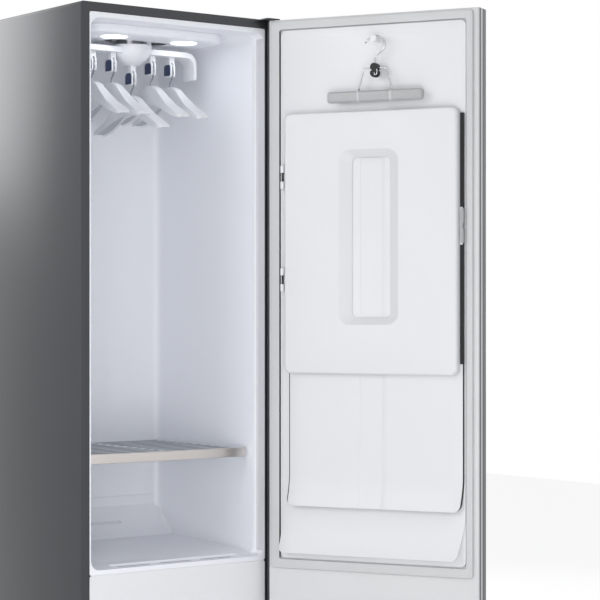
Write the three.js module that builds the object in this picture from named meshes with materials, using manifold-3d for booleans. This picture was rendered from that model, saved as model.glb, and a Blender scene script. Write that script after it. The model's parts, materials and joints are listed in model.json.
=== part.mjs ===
// Clothes care steam cabinet: a tall insulated cabinet with a shaking hanger bar, a steam and
// drying unit in its foot, two water tanks, and a door that holds a trouser press.
// Millimetres, +Z up. The origin is the middle of the base pan's underside, and the front is -Y.

import * as THREE from "three";
import { mergeVertices } from "three/addons/utils/BufferGeometryUtils.js";
import Module from "manifold-3d";

const wasm = await Module();
wasm.setup();

// Driving dimensions
const CABINET_WIDTH = 595;
const CABINET_HEIGHT = 1948;
const BODY_DEPTH = 520;
const SIDE_WALL = 45;
const BACK_WALL = 30;
const TOP_WALL = 37;
const FLOOR_Z = 522;
const DOOR_THICKNESS = 62;
const DOOR_GAP = 10;
const DOOR_OPEN_DEG = 118.2;
const SHEET = 1.2;
const LINER = 3;
const SEAT_GAP = 0.3;
const OVERCUT = 4;

const HALF_WIDTH = CABINET_WIDTH / 2;
const OPENING_HALF = HALF_WIDTH - SIDE_WALL;
const INTERIOR_DEPTH = BODY_DEPTH - BACK_WALL;
const CEILING_Z = CABINET_HEIGHT - TOP_WALL;

// Finishes, one per kind of surface
const finishes = {
  charcoalSheet: { color: 0x3a3b3e, roughness: 0.45, metalness: 0.7 },
  galvanised: { color: 0xb4b7ba, roughness: 0.5, metalness: 0.8 },
  whitePlastic: { color: 0xe6e8ec, roughness: 0.4, metalness: 0 },
  bluishWhite: { color: 0xdfe3ec, roughness: 0.45, metalness: 0 },
  palePanel: { color: 0xe0e2e4, roughness: 0.5, metalness: 0 },
  foam: { color: 0xe8e2cf, roughness: 0.95, metalness: 0 },
  champagne: { color: 0xb9b2aa, roughness: 0.32, metalness: 0.85 },
  chrome: { color: 0xd8dade, roughness: 0.12, metalness: 1 },
  blackPlastic: { color: 0x17181a, roughness: 0.4, metalness: 0 },
  darkBlue: { color: 0x3c4258, roughness: 0.55, metalness: 0 },
  greyPlastic: { color: 0xa6a6a9, roughness: 0.45, metalness: 0.1 },
  gasketGrey: { color: 0xc6c8c9, roughness: 0.7, metalness: 0 },
  lampWhite: { color: 0xffffff, roughness: 0.3, metalness: 0 },
  smokedGlass: { color: 0x14161a, roughness: 0.06, metalness: 0.2 },
  tankClear: { color: 0xcfdce6, roughness: 0.2, metalness: 0 },
  compressorBlack: { color: 0x202124, roughness: 0.5, metalness: 0.6 },
  aluminium: { color: 0xc8cacd, roughness: 0.35, metalness: 0.9 },
};

const group = new THREE.Group();
const door = new THREE.Group();

// Turns a closed geometry into a solid that can be joined and cut
function solidOf(geometry) {
  const bare = geometry.index ? geometry.toNonIndexed() : geometry.clone();
  bare.deleteAttribute("normal");
  bare.deleteAttribute("uv");
  const merged = mergeVertices(bare, 1e-4);
  const vertProperties = new Float32Array(merged.attributes.position.array);
  const triVerts = new Uint32Array(merged.index.array);
  return new wasm.Manifold(new wasm.Mesh({ numProp: 3, vertProperties, triVerts }));
}

// Adds a named piece to a group from one solid
function addPiece(parent, name, solid, finish) {
  const { vertProperties, triVerts } = solid.getMesh();
  const geometry = new THREE.BufferGeometry();
  geometry.setAttribute("position", new THREE.BufferAttribute(new Float32Array(vertProperties), 3));
  geometry.setIndex(new THREE.BufferAttribute(new Uint32Array(triVerts), 1));
  geometry.computeVertexNormals();
  const mesh = new THREE.Mesh(geometry, new THREE.MeshStandardMaterial(finish));
  mesh.name = name;
  parent.add(mesh);
}

// A block between two opposite corners
function block(x0, x1, y0, y1, z0, z1) {
  const geometry = new THREE.BoxGeometry(x1 - x0, y1 - y0, z1 - z0);
  geometry.translate((x0 + x1) / 2, (y0 + y1) / 2, (z0 + z1) / 2);
  return solidOf(geometry);
}

// Directions of an outline's two axes for each extrusion direction
const planes = {
  x: [new THREE.Vector3(0, 1, 0), new THREE.Vector3(0, 0, 1), new THREE.Vector3(1, 0, 0)],
  y: [new THREE.Vector3(1, 0, 0), new THREE.Vector3(0, 0, 1), new THREE.Vector3(0, -1, 0)],
  z: [new THREE.Vector3(1, 0, 0), new THREE.Vector3(0, 1, 0), new THREE.Vector3(0, 0, 1)],
};

// Pushes an outline along x, y or z between two places; the outline lies in the other two axes
function prism(axis, shape, from, to, curveSegments = 3) {
  const geometry = new THREE.ExtrudeGeometry(shape, { depth: to - from, bevelEnabled: false, curveSegments });
  const [a, b, n] = planes[axis];
  const start = axis === "y" ? n.clone().multiplyScalar(-to) : n.clone().multiplyScalar(from);
  geometry.applyMatrix4(new THREE.Matrix4().makeBasis(a, b, n).setPosition(start));
  return solidOf(geometry);
}

// The same with rounded rims, for moulded parts
function softPrism(axis, shape, from, to, rim, rimSteps = 2, curveSegments = 3) {
  const options = {
    depth: to - from - 2 * rim,
    bevelThickness: rim,
    bevelSize: rim,
    bevelOffset: -rim,
    bevelSegments: rimSteps,
    curveSegments,
  };
  const geometry = new THREE.ExtrudeGeometry(shape, options);
  const [a, b, n] = planes[axis];
  const start = axis === "y" ? n.clone().multiplyScalar(rim - to) : n.clone().multiplyScalar(from + rim);
  geometry.applyMatrix4(new THREE.Matrix4().makeBasis(a, b, n).setPosition(start));
  return solidOf(geometry);
}

// A rectangle with round corners
function roundRect(a0, a1, b0, b1, radius) {
  const shape = new THREE.Shape();
  shape.moveTo(a0 + radius, b0);
  shape.lineTo(a1 - radius, b0);
  shape.absarc(a1 - radius, b0 + radius, radius, -Math.PI / 2, 0);
  shape.lineTo(a1, b1 - radius);
  shape.absarc(a1 - radius, b1 - radius, radius, 0, Math.PI / 2);
  shape.lineTo(a0 + radius, b1);
  shape.absarc(a0 + radius, b1 - radius, radius, Math.PI / 2, Math.PI);
  shape.lineTo(a0, b0 + radius);
  shape.absarc(a0 + radius, b0 + radius, radius, Math.PI, 1.5 * Math.PI);
  return shape;
}

function polygon(points) {
  return new THREE.Shape(points.map(([a, b]) => new THREE.Vector2(a, b)));
}

function circle(a, b, radius) {
  const shape = new THREE.Shape();
  shape.absarc(a, b, radius, 0, 2 * Math.PI);
  return shape;
}

// A round bar along x, y or z
function rod(axis, a, b, radius, from, to, sides = 16) {
  return prism(axis, circle(a, b, radius), from, to, sides / 2);
}

// A body turned about the vertical through (x, y); the profile holds [radius, height] pairs
function turned(profile, x, y, sides = 20) {
  const points = profile.map(([radius, height]) => new THREE.Vector2(radius, height));
  const geometry = new THREE.LatheGeometry(points, sides);
  geometry.rotateX(Math.PI / 2);
  geometry.translate(x, y, 0);
  return solidOf(geometry);
}

// A round wire along a smooth path
function wire(path, radius, steps, sides = 6) {
  const options = { steps, extrudePath: path, bevelEnabled: false, curveSegments: sides / 2 };
  const section = circle(0, 0, radius);
  return solidOf(new THREE.ExtrudeGeometry(section, options));
}

const join = (solids) => solids.reduce((whole, next) => whole.add(next));
const cut = (solid, tools) => tools.reduce((whole, tool) => whole.subtract(tool), solid);

// Outer case: one folded sheet over both sides and the top, with its front edges turned in

const caseValues = { cornerRadius: 8, sideReturn: 26, topReturn: 24 };
const caseInnerX = HALF_WIDTH - SHEET;
const caseInnerTop = CABINET_HEIGHT - SHEET;
const frontHoleX = HALF_WIDTH - caseValues.sideReturn;
const frontHoleTop = CABINET_HEIGHT - caseValues.topReturn;

function outerCase() {
  const { cornerRadius } = caseValues;
  const full = roundRect(-HALF_WIDTH, HALF_WIDTH, -cornerRadius, CABINET_HEIGHT, cornerRadius);
  const inside = roundRect(-caseInnerX, caseInnerX, -2 * cornerRadius, caseInnerTop, cornerRadius - SHEET);
  const shell = prism("y", full, 0, BODY_DEPTH).subtract(prism("y", inside, SHEET, BODY_DEPTH + OVERCUT));
  const front = block(-frontHoleX, frontHoleX, -OVERCUT, SHEET + OVERCUT, -OVERCUT, frontHoleTop);
  const belowBase = block(-CABINET_WIDTH, CABINET_WIDTH, -OVERCUT, BODY_DEPTH + OVERCUT, -CABINET_WIDTH, 0);
  return cut(shell, [front, belowBase]);
}
addPiece(group, "outer_case", outerCase(), finishes.charcoalSheet);

// Base pan: a shallow tray with a raised rim, crossed by pressed stiffeners

const base = { plate: 2, rim: 34, ribHeight: 8, ribWidth: 26, ribCount: 3, inset: 0.5 };
const bead = { inset: 70, width: 6, depth: 0.8, corner: 20 };
const foot = { discRadius: 19, discHeight: 8, stemRadius: 5, drop: 12, stemTop: 26, inset: 46, running: 0.3 };
const baseX = caseInnerX - base.inset;
const baseFront = SHEET + base.inset;
const baseBack = BODY_DEPTH - SHEET - base.inset;
const footX = HALF_WIDTH - foot.inset;
const footFrontY = foot.inset;
const footBackY = BODY_DEPTH - foot.inset;

function basePan() {
  const tray = block(-baseX, baseX, baseFront, baseBack, 0, base.rim);
  const hollow = block(
    -baseX + base.plate, baseX - base.plate,
    baseFront + base.plate, baseBack - base.plate,
    base.plate, base.rim + OVERCUT,
  );
  const pitch = (baseBack - baseFront) / (base.ribCount + 1);
  const ribs = [];
  for (let i = 1; i <= base.ribCount; i += 1) {
    const y = baseFront + i * pitch;
    const profile = polygon([
      [y - base.ribWidth / 2, base.plate / 2],
      [y + base.ribWidth / 2, base.plate / 2],
      [y + base.ribWidth / 4, base.ribHeight],
      [y - base.ribWidth / 4, base.ribHeight],
    ]);
    ribs.push(prism("x", profile, -baseX + base.plate / 2, baseX - base.plate / 2));
  }
  const holes = [-footX, footX].map(
    (x) => rod("z", x, footFrontY, foot.stemRadius + foot.running, -OVERCUT, base.rim),
  );
  const beadX = baseX - bead.inset;
  const beadFront = baseFront + bead.inset;
  const beadBack = baseBack - bead.inset;
  const ring = prism("z", roundRect(-beadX, beadX, beadFront, beadBack, bead.corner), -OVERCUT, bead.depth)
    .subtract(prism("z", roundRect(
      -beadX + bead.width, beadX - bead.width, beadFront + bead.width, beadBack - bead.width,
      bead.corner - bead.width,
    ), -2 * OVERCUT, bead.depth + OVERCUT));
  return cut(join([tray.subtract(hollow), ...ribs]), [...holes, ring]);
}
addPiece(group, "base_pan", basePan(), finishes.galvanised);

// Levelling feet: a screw with a wide disc under each front corner of the base pan

function levellingFoot(x, y) {
  const chamfer = foot.discHeight / 4;
  return turned([
    [0, -foot.drop],
    [foot.discRadius - chamfer, -foot.drop],
    [foot.discRadius, -foot.drop + chamfer],
    [foot.discRadius, -foot.drop + foot.discHeight],
    [foot.discRadius * 0.6, -SEAT_GAP],
    [foot.stemRadius, -SEAT_GAP],
    [foot.stemRadius, foot.stemTop],
    [0, foot.stemTop],
  ], x, y, 20);
}
addPiece(group, "front_foot_left", levellingFoot(-footX, footFrontY), finishes.blackPlastic);
addPiece(group, "front_foot_right", levellingFoot(footX, footFrontY), finishes.blackPlastic);

// Rear glide: a moulded skid across the back, hollowed in the middle so that it stands on its ends
const glide = { halfDepth: 15, endReach: 20, padLength: 62, relief: 4, chamfer: 3 };

function rearGlide() {
  const half = footX + glide.endReach;
  const low = -foot.drop;
  const section = polygon([
    [footBackY - glide.halfDepth, low + glide.chamfer], [footBackY - glide.halfDepth + glide.chamfer, low],
    [footBackY + glide.halfDepth - glide.chamfer, low], [footBackY + glide.halfDepth, low + glide.chamfer],
    [footBackY + glide.halfDepth, -SEAT_GAP], [footBackY - glide.halfDepth, -SEAT_GAP],
  ]);
  const relief = block(
    -half + glide.padLength, half - glide.padLength, footBackY - 2 * glide.halfDepth,
    footBackY + 2 * glide.halfDepth, low - OVERCUT, low + glide.relief,
  );
  return prism("x", section, -half, half).subtract(relief);
}
addPiece(group, "rear_glide", rearGlide(), finishes.blackPlastic);

// Back panel: a sheet screwed into the case, with pressed stiffeners and louvres over the unit

const back = {
  ribDepth: 4, ribWidth: 26, ribShare: 0.504, ribLow: 640, ribDrop: 108,
  louvreRows: 7, louvreLength: 110, louvreHeight: 6, louvrePitch: 18, louvreLow: 150, louvreShare: 0.403,
};
const backPlaneY = BODY_DEPTH - SHEET;

function backPanel() {
  const clear = SEAT_GAP;
  const { cornerRadius } = caseValues;
  const outline = roundRect(
    -caseInnerX + clear, caseInnerX - clear, base.rim - cornerRadius, caseInnerTop - clear, cornerRadius,
  );
  const besideBase = block(-CABINET_WIDTH, CABINET_WIDTH, 0, 2 * BODY_DEPTH, 0, base.rim + clear);
  const sheet = prism("y", outline, backPlaneY, BODY_DEPTH).subtract(besideBase);
  const ribX = HALF_WIDTH * back.ribShare;
  const ribHigh = CABINET_HEIGHT - back.ribDrop;
  const ribs = [-ribX, ribX].map((x) => softPrism(
    "y", roundRect(x - back.ribWidth / 2, x + back.ribWidth / 2, back.ribLow, ribHigh, back.ribWidth / 3),
    backPlaneY - back.ribDepth, backPlaneY + SHEET / 2, SHEET / 2, 1, 2,
  ));
  const slots = [];
  const louvreX = HALF_WIDTH * back.louvreShare;
  for (let row = 0; row < back.louvreRows; row += 1) {
    const z = back.louvreLow + row * back.louvrePitch;
    for (const x of [-louvreX, louvreX]) {
      const half = back.louvreLength / 2;
      slots.push(block(x - half, x + half, backPlaneY - OVERCUT, BODY_DEPTH + OVERCUT, z, z + back.louvreHeight));
    }
  }
  return cut(sheet.add(join(ribs)), slots);
}
addPiece(group, "back_panel", backPanel(), finishes.galvanised);

// Inner liner: one vacuum-formed box with round front corners, a sloped floor and sloped lower back

const liner = {
  cornerRadius: 26, backFillet: 20, flange: 2.5,
  floorStep: 12, floorStepY: 60, floorRear: 545, slopeRun: 75, slopeTop: 622,
};
const slopeFoot = INTERIOR_DEPTH - liner.slopeRun;
const cavityProfile = [
  [-OVERCUT, FLOOR_Z],
  [0, FLOOR_Z],
  [liner.floorStepY, FLOOR_Z + liner.floorStep],
  [slopeFoot, liner.floorRear],
  [INTERIOR_DEPTH, liner.slopeTop],
  [INTERIOR_DEPTH, CEILING_Z],
  [-OVERCUT, CEILING_Z],
];
const cavityMiddleZ = (FLOOR_Z + CEILING_Z) / 2;

// The door seat widens the interior's mouth, so that the press panel and its latch clear the walls
const doorSeat = { wall: 30, depth: 30, corner: 8 };
const seatHalf = HALF_WIDTH - doorSeat.wall;

// The interior space with its door seat, made larger all round by an offset
function cavity(offset) {
  const sideView = cavityProfile.map(([y, z]) => [
    y > 0 ? y + offset : y,
    z > cavityMiddleZ ? z + offset : z - offset,
  ]);
  const front = roundRect(
    -OPENING_HALF - offset, OPENING_HALF + offset, FLOOR_Z - offset, CEILING_Z + offset,
    liner.cornerRadius + offset,
  );
  const plan = roundRect(
    -OPENING_HALF - offset, OPENING_HALF + offset,
    -3 * liner.backFillet, INTERIOR_DEPTH + offset, liner.backFillet + offset,
  );
  const bySide = prism("x", polygon(sideView), -seatHalf - offset, seatHalf + offset);
  const byFront = prism("y", front, -OVERCUT, INTERIOR_DEPTH + offset);
  const byPlan = prism("z", plan, FLOOR_Z - offset, CEILING_Z + offset);
  const mouth = roundRect(
    -seatHalf - offset, seatHalf + offset, FLOOR_Z - offset, CEILING_Z + offset, liner.cornerRadius + offset,
  );
  const seatPlan = roundRect(
    -seatHalf - offset, seatHalf + offset,
    -3 * liner.backFillet, doorSeat.depth + offset, doorSeat.corner + offset,
  );
  const seat = prism("y", mouth, -OVERCUT, doorSeat.depth + offset)
    .intersect(prism("z", seatPlan, FLOOR_Z - offset, CEILING_Z + offset));
  return byFront.intersect(byPlan).add(seat).intersect(bySide);
}

const filterPocket = { sideSpace: 56.5, front: 9, back: 35, depth: 70, ledge: 5 };
const pocketHalf = OPENING_HALF - filterPocket.sideSpace;
const pocketTop = FLOOR_Z + liner.floorStep;
const pocketBottom = FLOOR_Z - filterPocket.depth;

function innerLiner() {
  const flangeShape = roundRect(
    -frontHoleX + SEAT_GAP, frontHoleX - SEAT_GAP,
    FLOOR_Z - caseValues.topReturn / 2, frontHoleTop - SEAT_GAP, liner.cornerRadius / 4,
  );
  const flange = prism("y", flangeShape, 0, liner.flange);
  const tub = cavity(LINER).subtract(block(
    -CABINET_WIDTH, CABINET_WIDTH, -2 * OVERCUT, 0, FLOOR_Z - CABINET_WIDTH, CEILING_Z + CABINET_WIDTH,
  ));
  const pocket = block(
    -pocketHalf - LINER, pocketHalf + LINER,
    filterPocket.front - LINER, filterPocket.back + LINER, pocketBottom, pocketTop,
  );
  const pocketHole = block(
    -pocketHalf, pocketHalf,
    filterPocket.front, filterPocket.back, pocketBottom + LINER, pocketTop + OVERCUT,
  );
  const ledge = filterPocket.ledge;
  const airway = block(
    -pocketHalf + ledge, pocketHalf - ledge,
    filterPocket.front + ledge, filterPocket.back - ledge, pocketBottom - OVERCUT, pocketTop,
  );
  return cut(join([tub, flange, pocket]), [cavity(0), pocketHole, airway]);
}
addPiece(group, "inner_liner", innerLiner(), finishes.bluishWhite);

// Insulation: one foam jacket over both sides, the top and the back, between the liner and the case

function foamJacket() {
  const clear = SEAT_GAP;
  const inner = OPENING_HALF + LINER + clear;
  const seatInner = seatHalf + LINER + clear;
  const seatRear = doorSeat.depth + LINER + clear;
  const outer = caseInnerX - clear;
  const front = liner.flange + SHEET + clear;
  const rear = INTERIOR_DEPTH + LINER + clear;
  const low = FLOOR_Z + liner.cornerRadius;
  const high = CEILING_Z + LINER + clear;
  const top = caseInnerTop - clear;
  const shoulder = caseValues.cornerRadius;
  const rearFace = backPlaneY - back.ribDepth - clear;
  return join([
    block(inner, outer, seatRear, rearFace, low, top - shoulder),
    block(-outer, -inner, seatRear, rearFace, low, top - shoulder),
    block(seatInner, outer, front, rearFace, low, top - shoulder),
    block(-outer, -seatInner, front, rearFace, low, top - shoulder),
    block(-outer + shoulder, outer - shoulder, front, rearFace, high, top),
    block(-outer, outer, rear, rearFace, liner.slopeTop + LINER, top - shoulder),
  ]);
}
addPiece(group, "foam_jacket", foamJacket(), finishes.foam);

// Rear duct cover: the sloped lower back of the interior, with the steam outlet slot

const duct = { sideSpace: 18.5, thickness: 5, toe: 12, rise: 30, slotHalf: 100, slotHeight: 7, slotShare: 0.42 };
const slopeRise = liner.slopeTop - liner.floorRear;
const slopeLength = Math.hypot(liner.slopeRun, slopeRise);
const slopeNormal = [-slopeRise / slopeLength, liner.slopeRun / slopeLength];

// A point on the slope at a share of its run, lifted off it
function onSlope(share, lift) {
  return [
    slopeFoot + share * liner.slopeRun + lift * slopeNormal[0],
    liner.floorRear + share * slopeRise + lift * slopeNormal[1],
  ];
}

function rearDuctCover() {
  const lift = SEAT_GAP + duct.thickness;
  const floorSlope = (liner.floorRear - FLOOR_Z - liner.floorStep) / (slopeFoot - liner.floorStepY);
  const toeY = slopeFoot - duct.toe;
  const toeZ = liner.floorRear - duct.toe * floorSlope + SEAT_GAP;
  const wallY = INTERIOR_DEPTH - SEAT_GAP;
  const outline = polygon([
    [toeY, toeZ],
    onSlope(0, 2 * SEAT_GAP),
    onSlope(1, 2 * SEAT_GAP),
    [wallY, liner.slopeTop + duct.rise],
    [wallY - duct.thickness / 2, liner.slopeTop + duct.rise],
    onSlope(1, lift),
    onSlope(0, lift),
  ]);
  const lowLip = onSlope(duct.slotShare, 0);
  const slot = block(
    -duct.slotHalf, duct.slotHalf, lowLip[0] - 2 * duct.slotHeight, lowLip[0] + 2 * duct.slotHeight,
    lowLip[1] + duct.slotHeight / 2, lowLip[1] + duct.slotHeight * 1.5,
  );
  const halfWidth = OPENING_HALF - duct.sideSpace;
  return prism("x", outline, -halfWidth, halfWidth).subtract(slot);
}
addPiece(group, "rear_duct_cover", rearDuctCover(), finishes.bluishWhite);

// Ceiling housing: a moulded cover with two lamp pockets and a well for the shaking drive

const HANG_SHARE = 0.4817;
const HANG_Y = INTERIOR_DEPTH * HANG_SHARE;
const ceiling = { sideSpace: 40.5, frontReach: 158, backReach: 136, drop: 23, corner: 60, rim: 8 };
const ceilingHalf = OPENING_HALF - ceiling.sideSpace;
const lamp = { share: 0.515, forward: 91, radius: 35, lip: 1.5, depth: 12, dome: 1.5 };
const lampX = ceilingHalf * lamp.share;
const lampY = HANG_Y - lamp.forward;
const well = { widthShare: 0.434, halfDepth: 55, corner: 8 };
const wellHalf = ceilingHalf * well.widthShare;
const guide = { rodRadius: 4, offset: 40, height: 8, running: 0.3, plate: 4, plateMargin: 7 };
const ceilingUnder = CEILING_Z - ceiling.drop;
const rodZ = ceilingUnder + guide.height;

function ceilingHousing() {
  const outline = roundRect(
    -ceilingHalf, ceilingHalf, HANG_Y - ceiling.frontReach, HANG_Y + ceiling.backReach, ceiling.corner,
  );
  const top = CEILING_Z - SEAT_GAP;
  const body = softPrism("z", outline, ceilingUnder, top + ceiling.rim, ceiling.rim, 2, 3);
  const above = block(
    -CABINET_WIDTH, CABINET_WIDTH, -BODY_DEPTH, BODY_DEPTH, top, CABINET_HEIGHT,
  );
  const wellHole = prism("z", roundRect(
    -wellHalf, wellHalf, HANG_Y - well.halfDepth, HANG_Y + well.halfDepth, well.corner,
  ), ceilingUnder - OVERCUT, CEILING_Z);
  const pockets = [-lampX, lampX].map(
    (x) => rod("z", x, lampY, lamp.radius + SEAT_GAP, ceilingUnder - OVERCUT, ceilingUnder + lamp.depth, 24),
  );
  return cut(body, [above, wellHole, ...pockets]);
}
addPiece(group, "ceiling_housing", ceilingHousing(), finishes.bluishWhite);

// Lamps: a slightly domed lens pressed into each pocket

function lampLens(x) {
  const top = ceilingUnder + lamp.depth - SEAT_GAP;
  const edge = ceilingUnder - lamp.lip;
  return turned([
    [0, edge - lamp.dome],
    [lamp.radius * 0.7, edge - lamp.dome / 2],
    [lamp.radius - lamp.lip, edge],
    [lamp.radius, ceilingUnder],
    [lamp.radius, top],
    [0, top],
  ], x, lampY, 24);
}
addPiece(group, "lamp_left", lampLens(-lampX), finishes.lampWhite);
addPiece(group, "lamp_right", lampLens(lampX), finishes.lampWhite);

// Guide frame: two rods between end plates across the well; the shaking bar's carriage runs on them

function guideFrame() {
  const end = wellHalf - SEAT_GAP;
  const rods = [-guide.offset, guide.offset].map(
    (side) => rod("x", HANG_Y + side, rodZ, guide.rodRadius, -end + guide.plate / 2, end - guide.plate / 2, 12),
  );
  const reach = guide.offset + guide.plateMargin;
  const plates = [-1, 1].map((side) => {
    const a = side * end;
    const b = side * (end - guide.plate);
    return block(
      Math.min(a, b), Math.max(a, b), HANG_Y - reach, HANG_Y + reach, rodZ - guide.plateMargin,
      rodZ + guide.plateMargin,
    );
  });
  return join([...rods, ...plates]);
}
addPiece(group, "guide_frame", guideFrame(), finishes.chrome);

// Shaking drive: a flat motor under the ceiling, whose crank pin turns over the carriage's yoke

const motor = { half: 26, corner: 6, length: 26, shaftRadius: 3, shaftLength: 4 };
const crank = { discRadius: 17, discHeight: 5, pinRadius: 3, pinLength: 5, stroke: 12, running: 0.3 };
const motorTop = CEILING_Z - SEAT_GAP;
const motorBottom = motorTop - motor.length;
const crankTop = motorBottom - crank.running;
const crankBottom = crankTop - crank.discHeight;

function hangerMotor() {
  const can = softPrism("z", roundRect(
    -motor.half, motor.half, HANG_Y - motor.half, HANG_Y + motor.half, motor.corner,
  ), motorBottom, motorTop, motor.corner / 3, 1);
  const shaft = rod("z", 0, HANG_Y, motor.shaftRadius, motorBottom - motor.shaftLength, motorTop);
  return can.add(shaft);
}
addPiece(group, "hanger_motor", hangerMotor(), finishes.galvanised);

function crankDisc() {
  const disc = rod("z", 0, HANG_Y, crank.discRadius, crankBottom, crankTop, 24);
  const pin = rod("z", 0, HANG_Y - crank.stroke, crank.pinRadius, crankBottom - crank.pinLength, crankTop, 12);
  const bore = rod("z", 0, HANG_Y, motor.shaftRadius + crank.running, crankBottom + SHEET, crankTop + OVERCUT);
  return disc.add(pin).subtract(bore);
}
addPiece(group, "crank_disc", crankDisc(), finishes.galvanised);

// Hanger bar: one moulding that shakes from side to side. Its middle is a bowl over the drive, with
// four lugs that ride the rods; a flat arm each side is bent down at its end; hook holders hang below.

const bowl = { radius: 57, wall: 2.5, rimDrop: 30, depth: 56, lugLength: 14, lugX: 30, lugWall: 3 };
const yoke = { thickness: 4, halfDepth: 26, halfWidth: 14, slotHalf: 17 };
const bowlInner = bowl.radius - bowl.wall;
const bowlRim = CEILING_Z - bowl.rimDrop;
const bowlBottom = bowlRim - bowl.depth;
const bowlCurveShares = [0, 0.24, 0.46, 0.66, 0.82, 0.94, 1];

// The bowl's half section: an upright quarter ellipse from the bottom to the rim
function bowlProfile(radius, depth, top) {
  return bowlCurveShares.map((share) => [
    radius * Math.sin(share * Math.PI / 2),
    top - depth * Math.cos(share * Math.PI / 2),
  ]);
}

// The bowl filled up to its rim, smaller or larger than it by an offset
const bowlBulk = (offset) => turned([
  ...bowlProfile(bowl.radius + offset, bowl.depth + offset, bowlRim), [0, bowlRim],
], 0, HANG_Y);

function driveBowl() {
  const outer = bowlBulk(0);
  const innerTop = bowlRim + OVERCUT;
  const innerCurve = bowlProfile(bowlInner, bowl.depth - bowl.wall, bowlRim);
  const inner = turned([...innerCurve, [bowlInner, innerTop], [0, innerTop]], 0, HANG_Y);
  const yokeTop = crankBottom - crank.pinLength - crank.running;
  const yokePlate = block(
    -yoke.halfWidth, yoke.halfWidth, HANG_Y - bowlInner - bowl.wall / 2, HANG_Y + bowlInner + bowl.wall / 2,
    yokeTop - yoke.thickness, yokeTop,
  );
  const yokeSlot = block(
    -crank.pinRadius - crank.running, crank.pinRadius + crank.running,
    HANG_Y - yoke.slotHalf, HANG_Y + yoke.slotHalf, bowlBottom + bowl.wall + OVERCUT, yokeTop + OVERCUT,
  );
  const lugs = [];
  const lugRadius = guide.rodRadius + guide.running + bowl.lugWall;
  for (const side of [-guide.offset, guide.offset]) {
    for (const x of [-bowl.lugX, bowl.lugX]) {
      const half = bowl.lugLength / 2;
      const y = HANG_Y + side;
      const eye = rod("x", y, rodZ, lugRadius, x - half, x + half, 12);
      const neck = block(x - half, x + half, y - bowl.lugWall, y + bowl.lugWall, bowlRim - bowl.wall, rodZ);
      lugs.push(eye, neck);
    }
  }
  const rim = turned([
    [bowlInner - bowl.wall, bowlRim - bowl.wall],
    [bowl.radius, bowlRim - bowl.wall],
    [bowl.radius, bowlRim],
    [bowlInner - bowl.wall, bowlRim],
    [bowlInner - bowl.wall, bowlRim - bowl.wall],
  ], 0, HANG_Y);
  const bores = [-guide.offset, guide.offset].map((side) => rod(
    "x", HANG_Y + side, rodZ, guide.rodRadius + guide.running, -bowl.radius * 2, bowl.radius * 2, 12,
  ));
  const shell = outer.subtract(inner);
  return cut(join([shell, yokePlate.intersect(bowlBulk(-bowl.wall / 2)).subtract(yokeSlot), rim, ...lugs]), bores);
}

const arm = { drop: 37, thickness: 15, legThickness: 8, halfDepth: 28, sideSpace: 58.5, legDrop: 110, bend: 32 };
const armTop = CEILING_Z - arm.drop;
const armBottom = armTop - arm.thickness;
const armEnd = OPENING_HALF - arm.sideSpace;
const legBottom = CEILING_Z - arm.legDrop;

function hangerArm(side) {
  const { bend, legThickness } = arm;
  const innerBend = bend - legThickness;
  const shape = new THREE.Shape();
  shape.moveTo(0, armBottom);
  shape.lineTo(0, armTop);
  shape.lineTo(armEnd - bend, armTop);
  shape.absarc(armEnd - bend, armTop - bend, bend, Math.PI / 2, 0, true);
  shape.lineTo(armEnd, legBottom);
  shape.lineTo(armEnd - legThickness, legBottom);
  shape.lineTo(armEnd - legThickness, armBottom - innerBend);
  shape.absarc(armEnd - legThickness - innerBend, armBottom - innerBend, innerBend, 0, Math.PI / 2);
  shape.lineTo(0, armBottom);
  const band = softPrism("y", shape, HANG_Y - arm.halfDepth, HANG_Y + arm.halfDepth, SHEET, 1, 4);
  const oneSide = side > 0 ? band : band.mirror([1, 0, 0]);
  return oneSide.subtract(bowlBulk(-bowl.wall / 2));
}

// Each hook holder is a stem and a slotted head; the garment hanger's hook hangs over a cross rib

const holder = {
  spacingShare: 0.3196, halfWidth: 7.5, stemFront: 12, stemBack: 4, headFront: 16, headBack: 22, headHeight: 36,
  slotHalf: 2.8, ribRadius: 3.5, ribDrop: 12, corner: 6, centreDrop: 31, sideDrop: 105,
};
const holderSpacing = armEnd * holder.spacingShare;
const holderPlaces = [-2, -1, 0, 1, 2].map((step) => step * holderSpacing);
const sideHolderBottom = CEILING_Z - holder.sideDrop;
const holderBottom = (x) => (x === 0 ? sideHolderBottom - holder.centreDrop : sideHolderBottom);

function hookHolder(x) {
  const bottom = holderBottom(x);
  const top = bottom + holder.headHeight;
  const attach = x === 0 ? bowlBottom + bowl.wall : armBottom + arm.thickness / 2;
  const stem = block(
    x - holder.halfWidth, x + holder.halfWidth, HANG_Y - holder.stemFront, HANG_Y + holder.stemBack,
    top - holder.corner, attach,
  );
  const head = prism("x", roundRect(
    HANG_Y - holder.headFront, HANG_Y + holder.headBack, bottom, top, holder.corner,
  ), x - holder.halfWidth, x + holder.halfWidth, 1);
  const slot = block(
    x - holder.slotHalf, x + holder.slotHalf, HANG_Y - holder.headFront * 2, HANG_Y + holder.headBack * 2,
    bottom - OVERCUT, top + holder.slotHalf,
  );
  const ribZ = top - holder.ribDrop;
  const rib = rod("x", HANG_Y, ribZ, holder.ribRadius, x - holder.slotHalf * 1.4, x + holder.slotHalf * 1.4, 8);
  const body = stem.add(head).subtract(slot).add(rib);
  return body.subtract(bowlBulk(-bowl.wall / 2));
}

const hangerBar = join([driveBowl(), hangerArm(-1), hangerArm(1), ...holderPlaces.map(hookHolder)]);
addPiece(group, "hanger_bar", hangerBar, finishes.whitePlastic);

// Garment hangers: wide-shouldered mouldings lying front to back, each on a chrome hook

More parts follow.
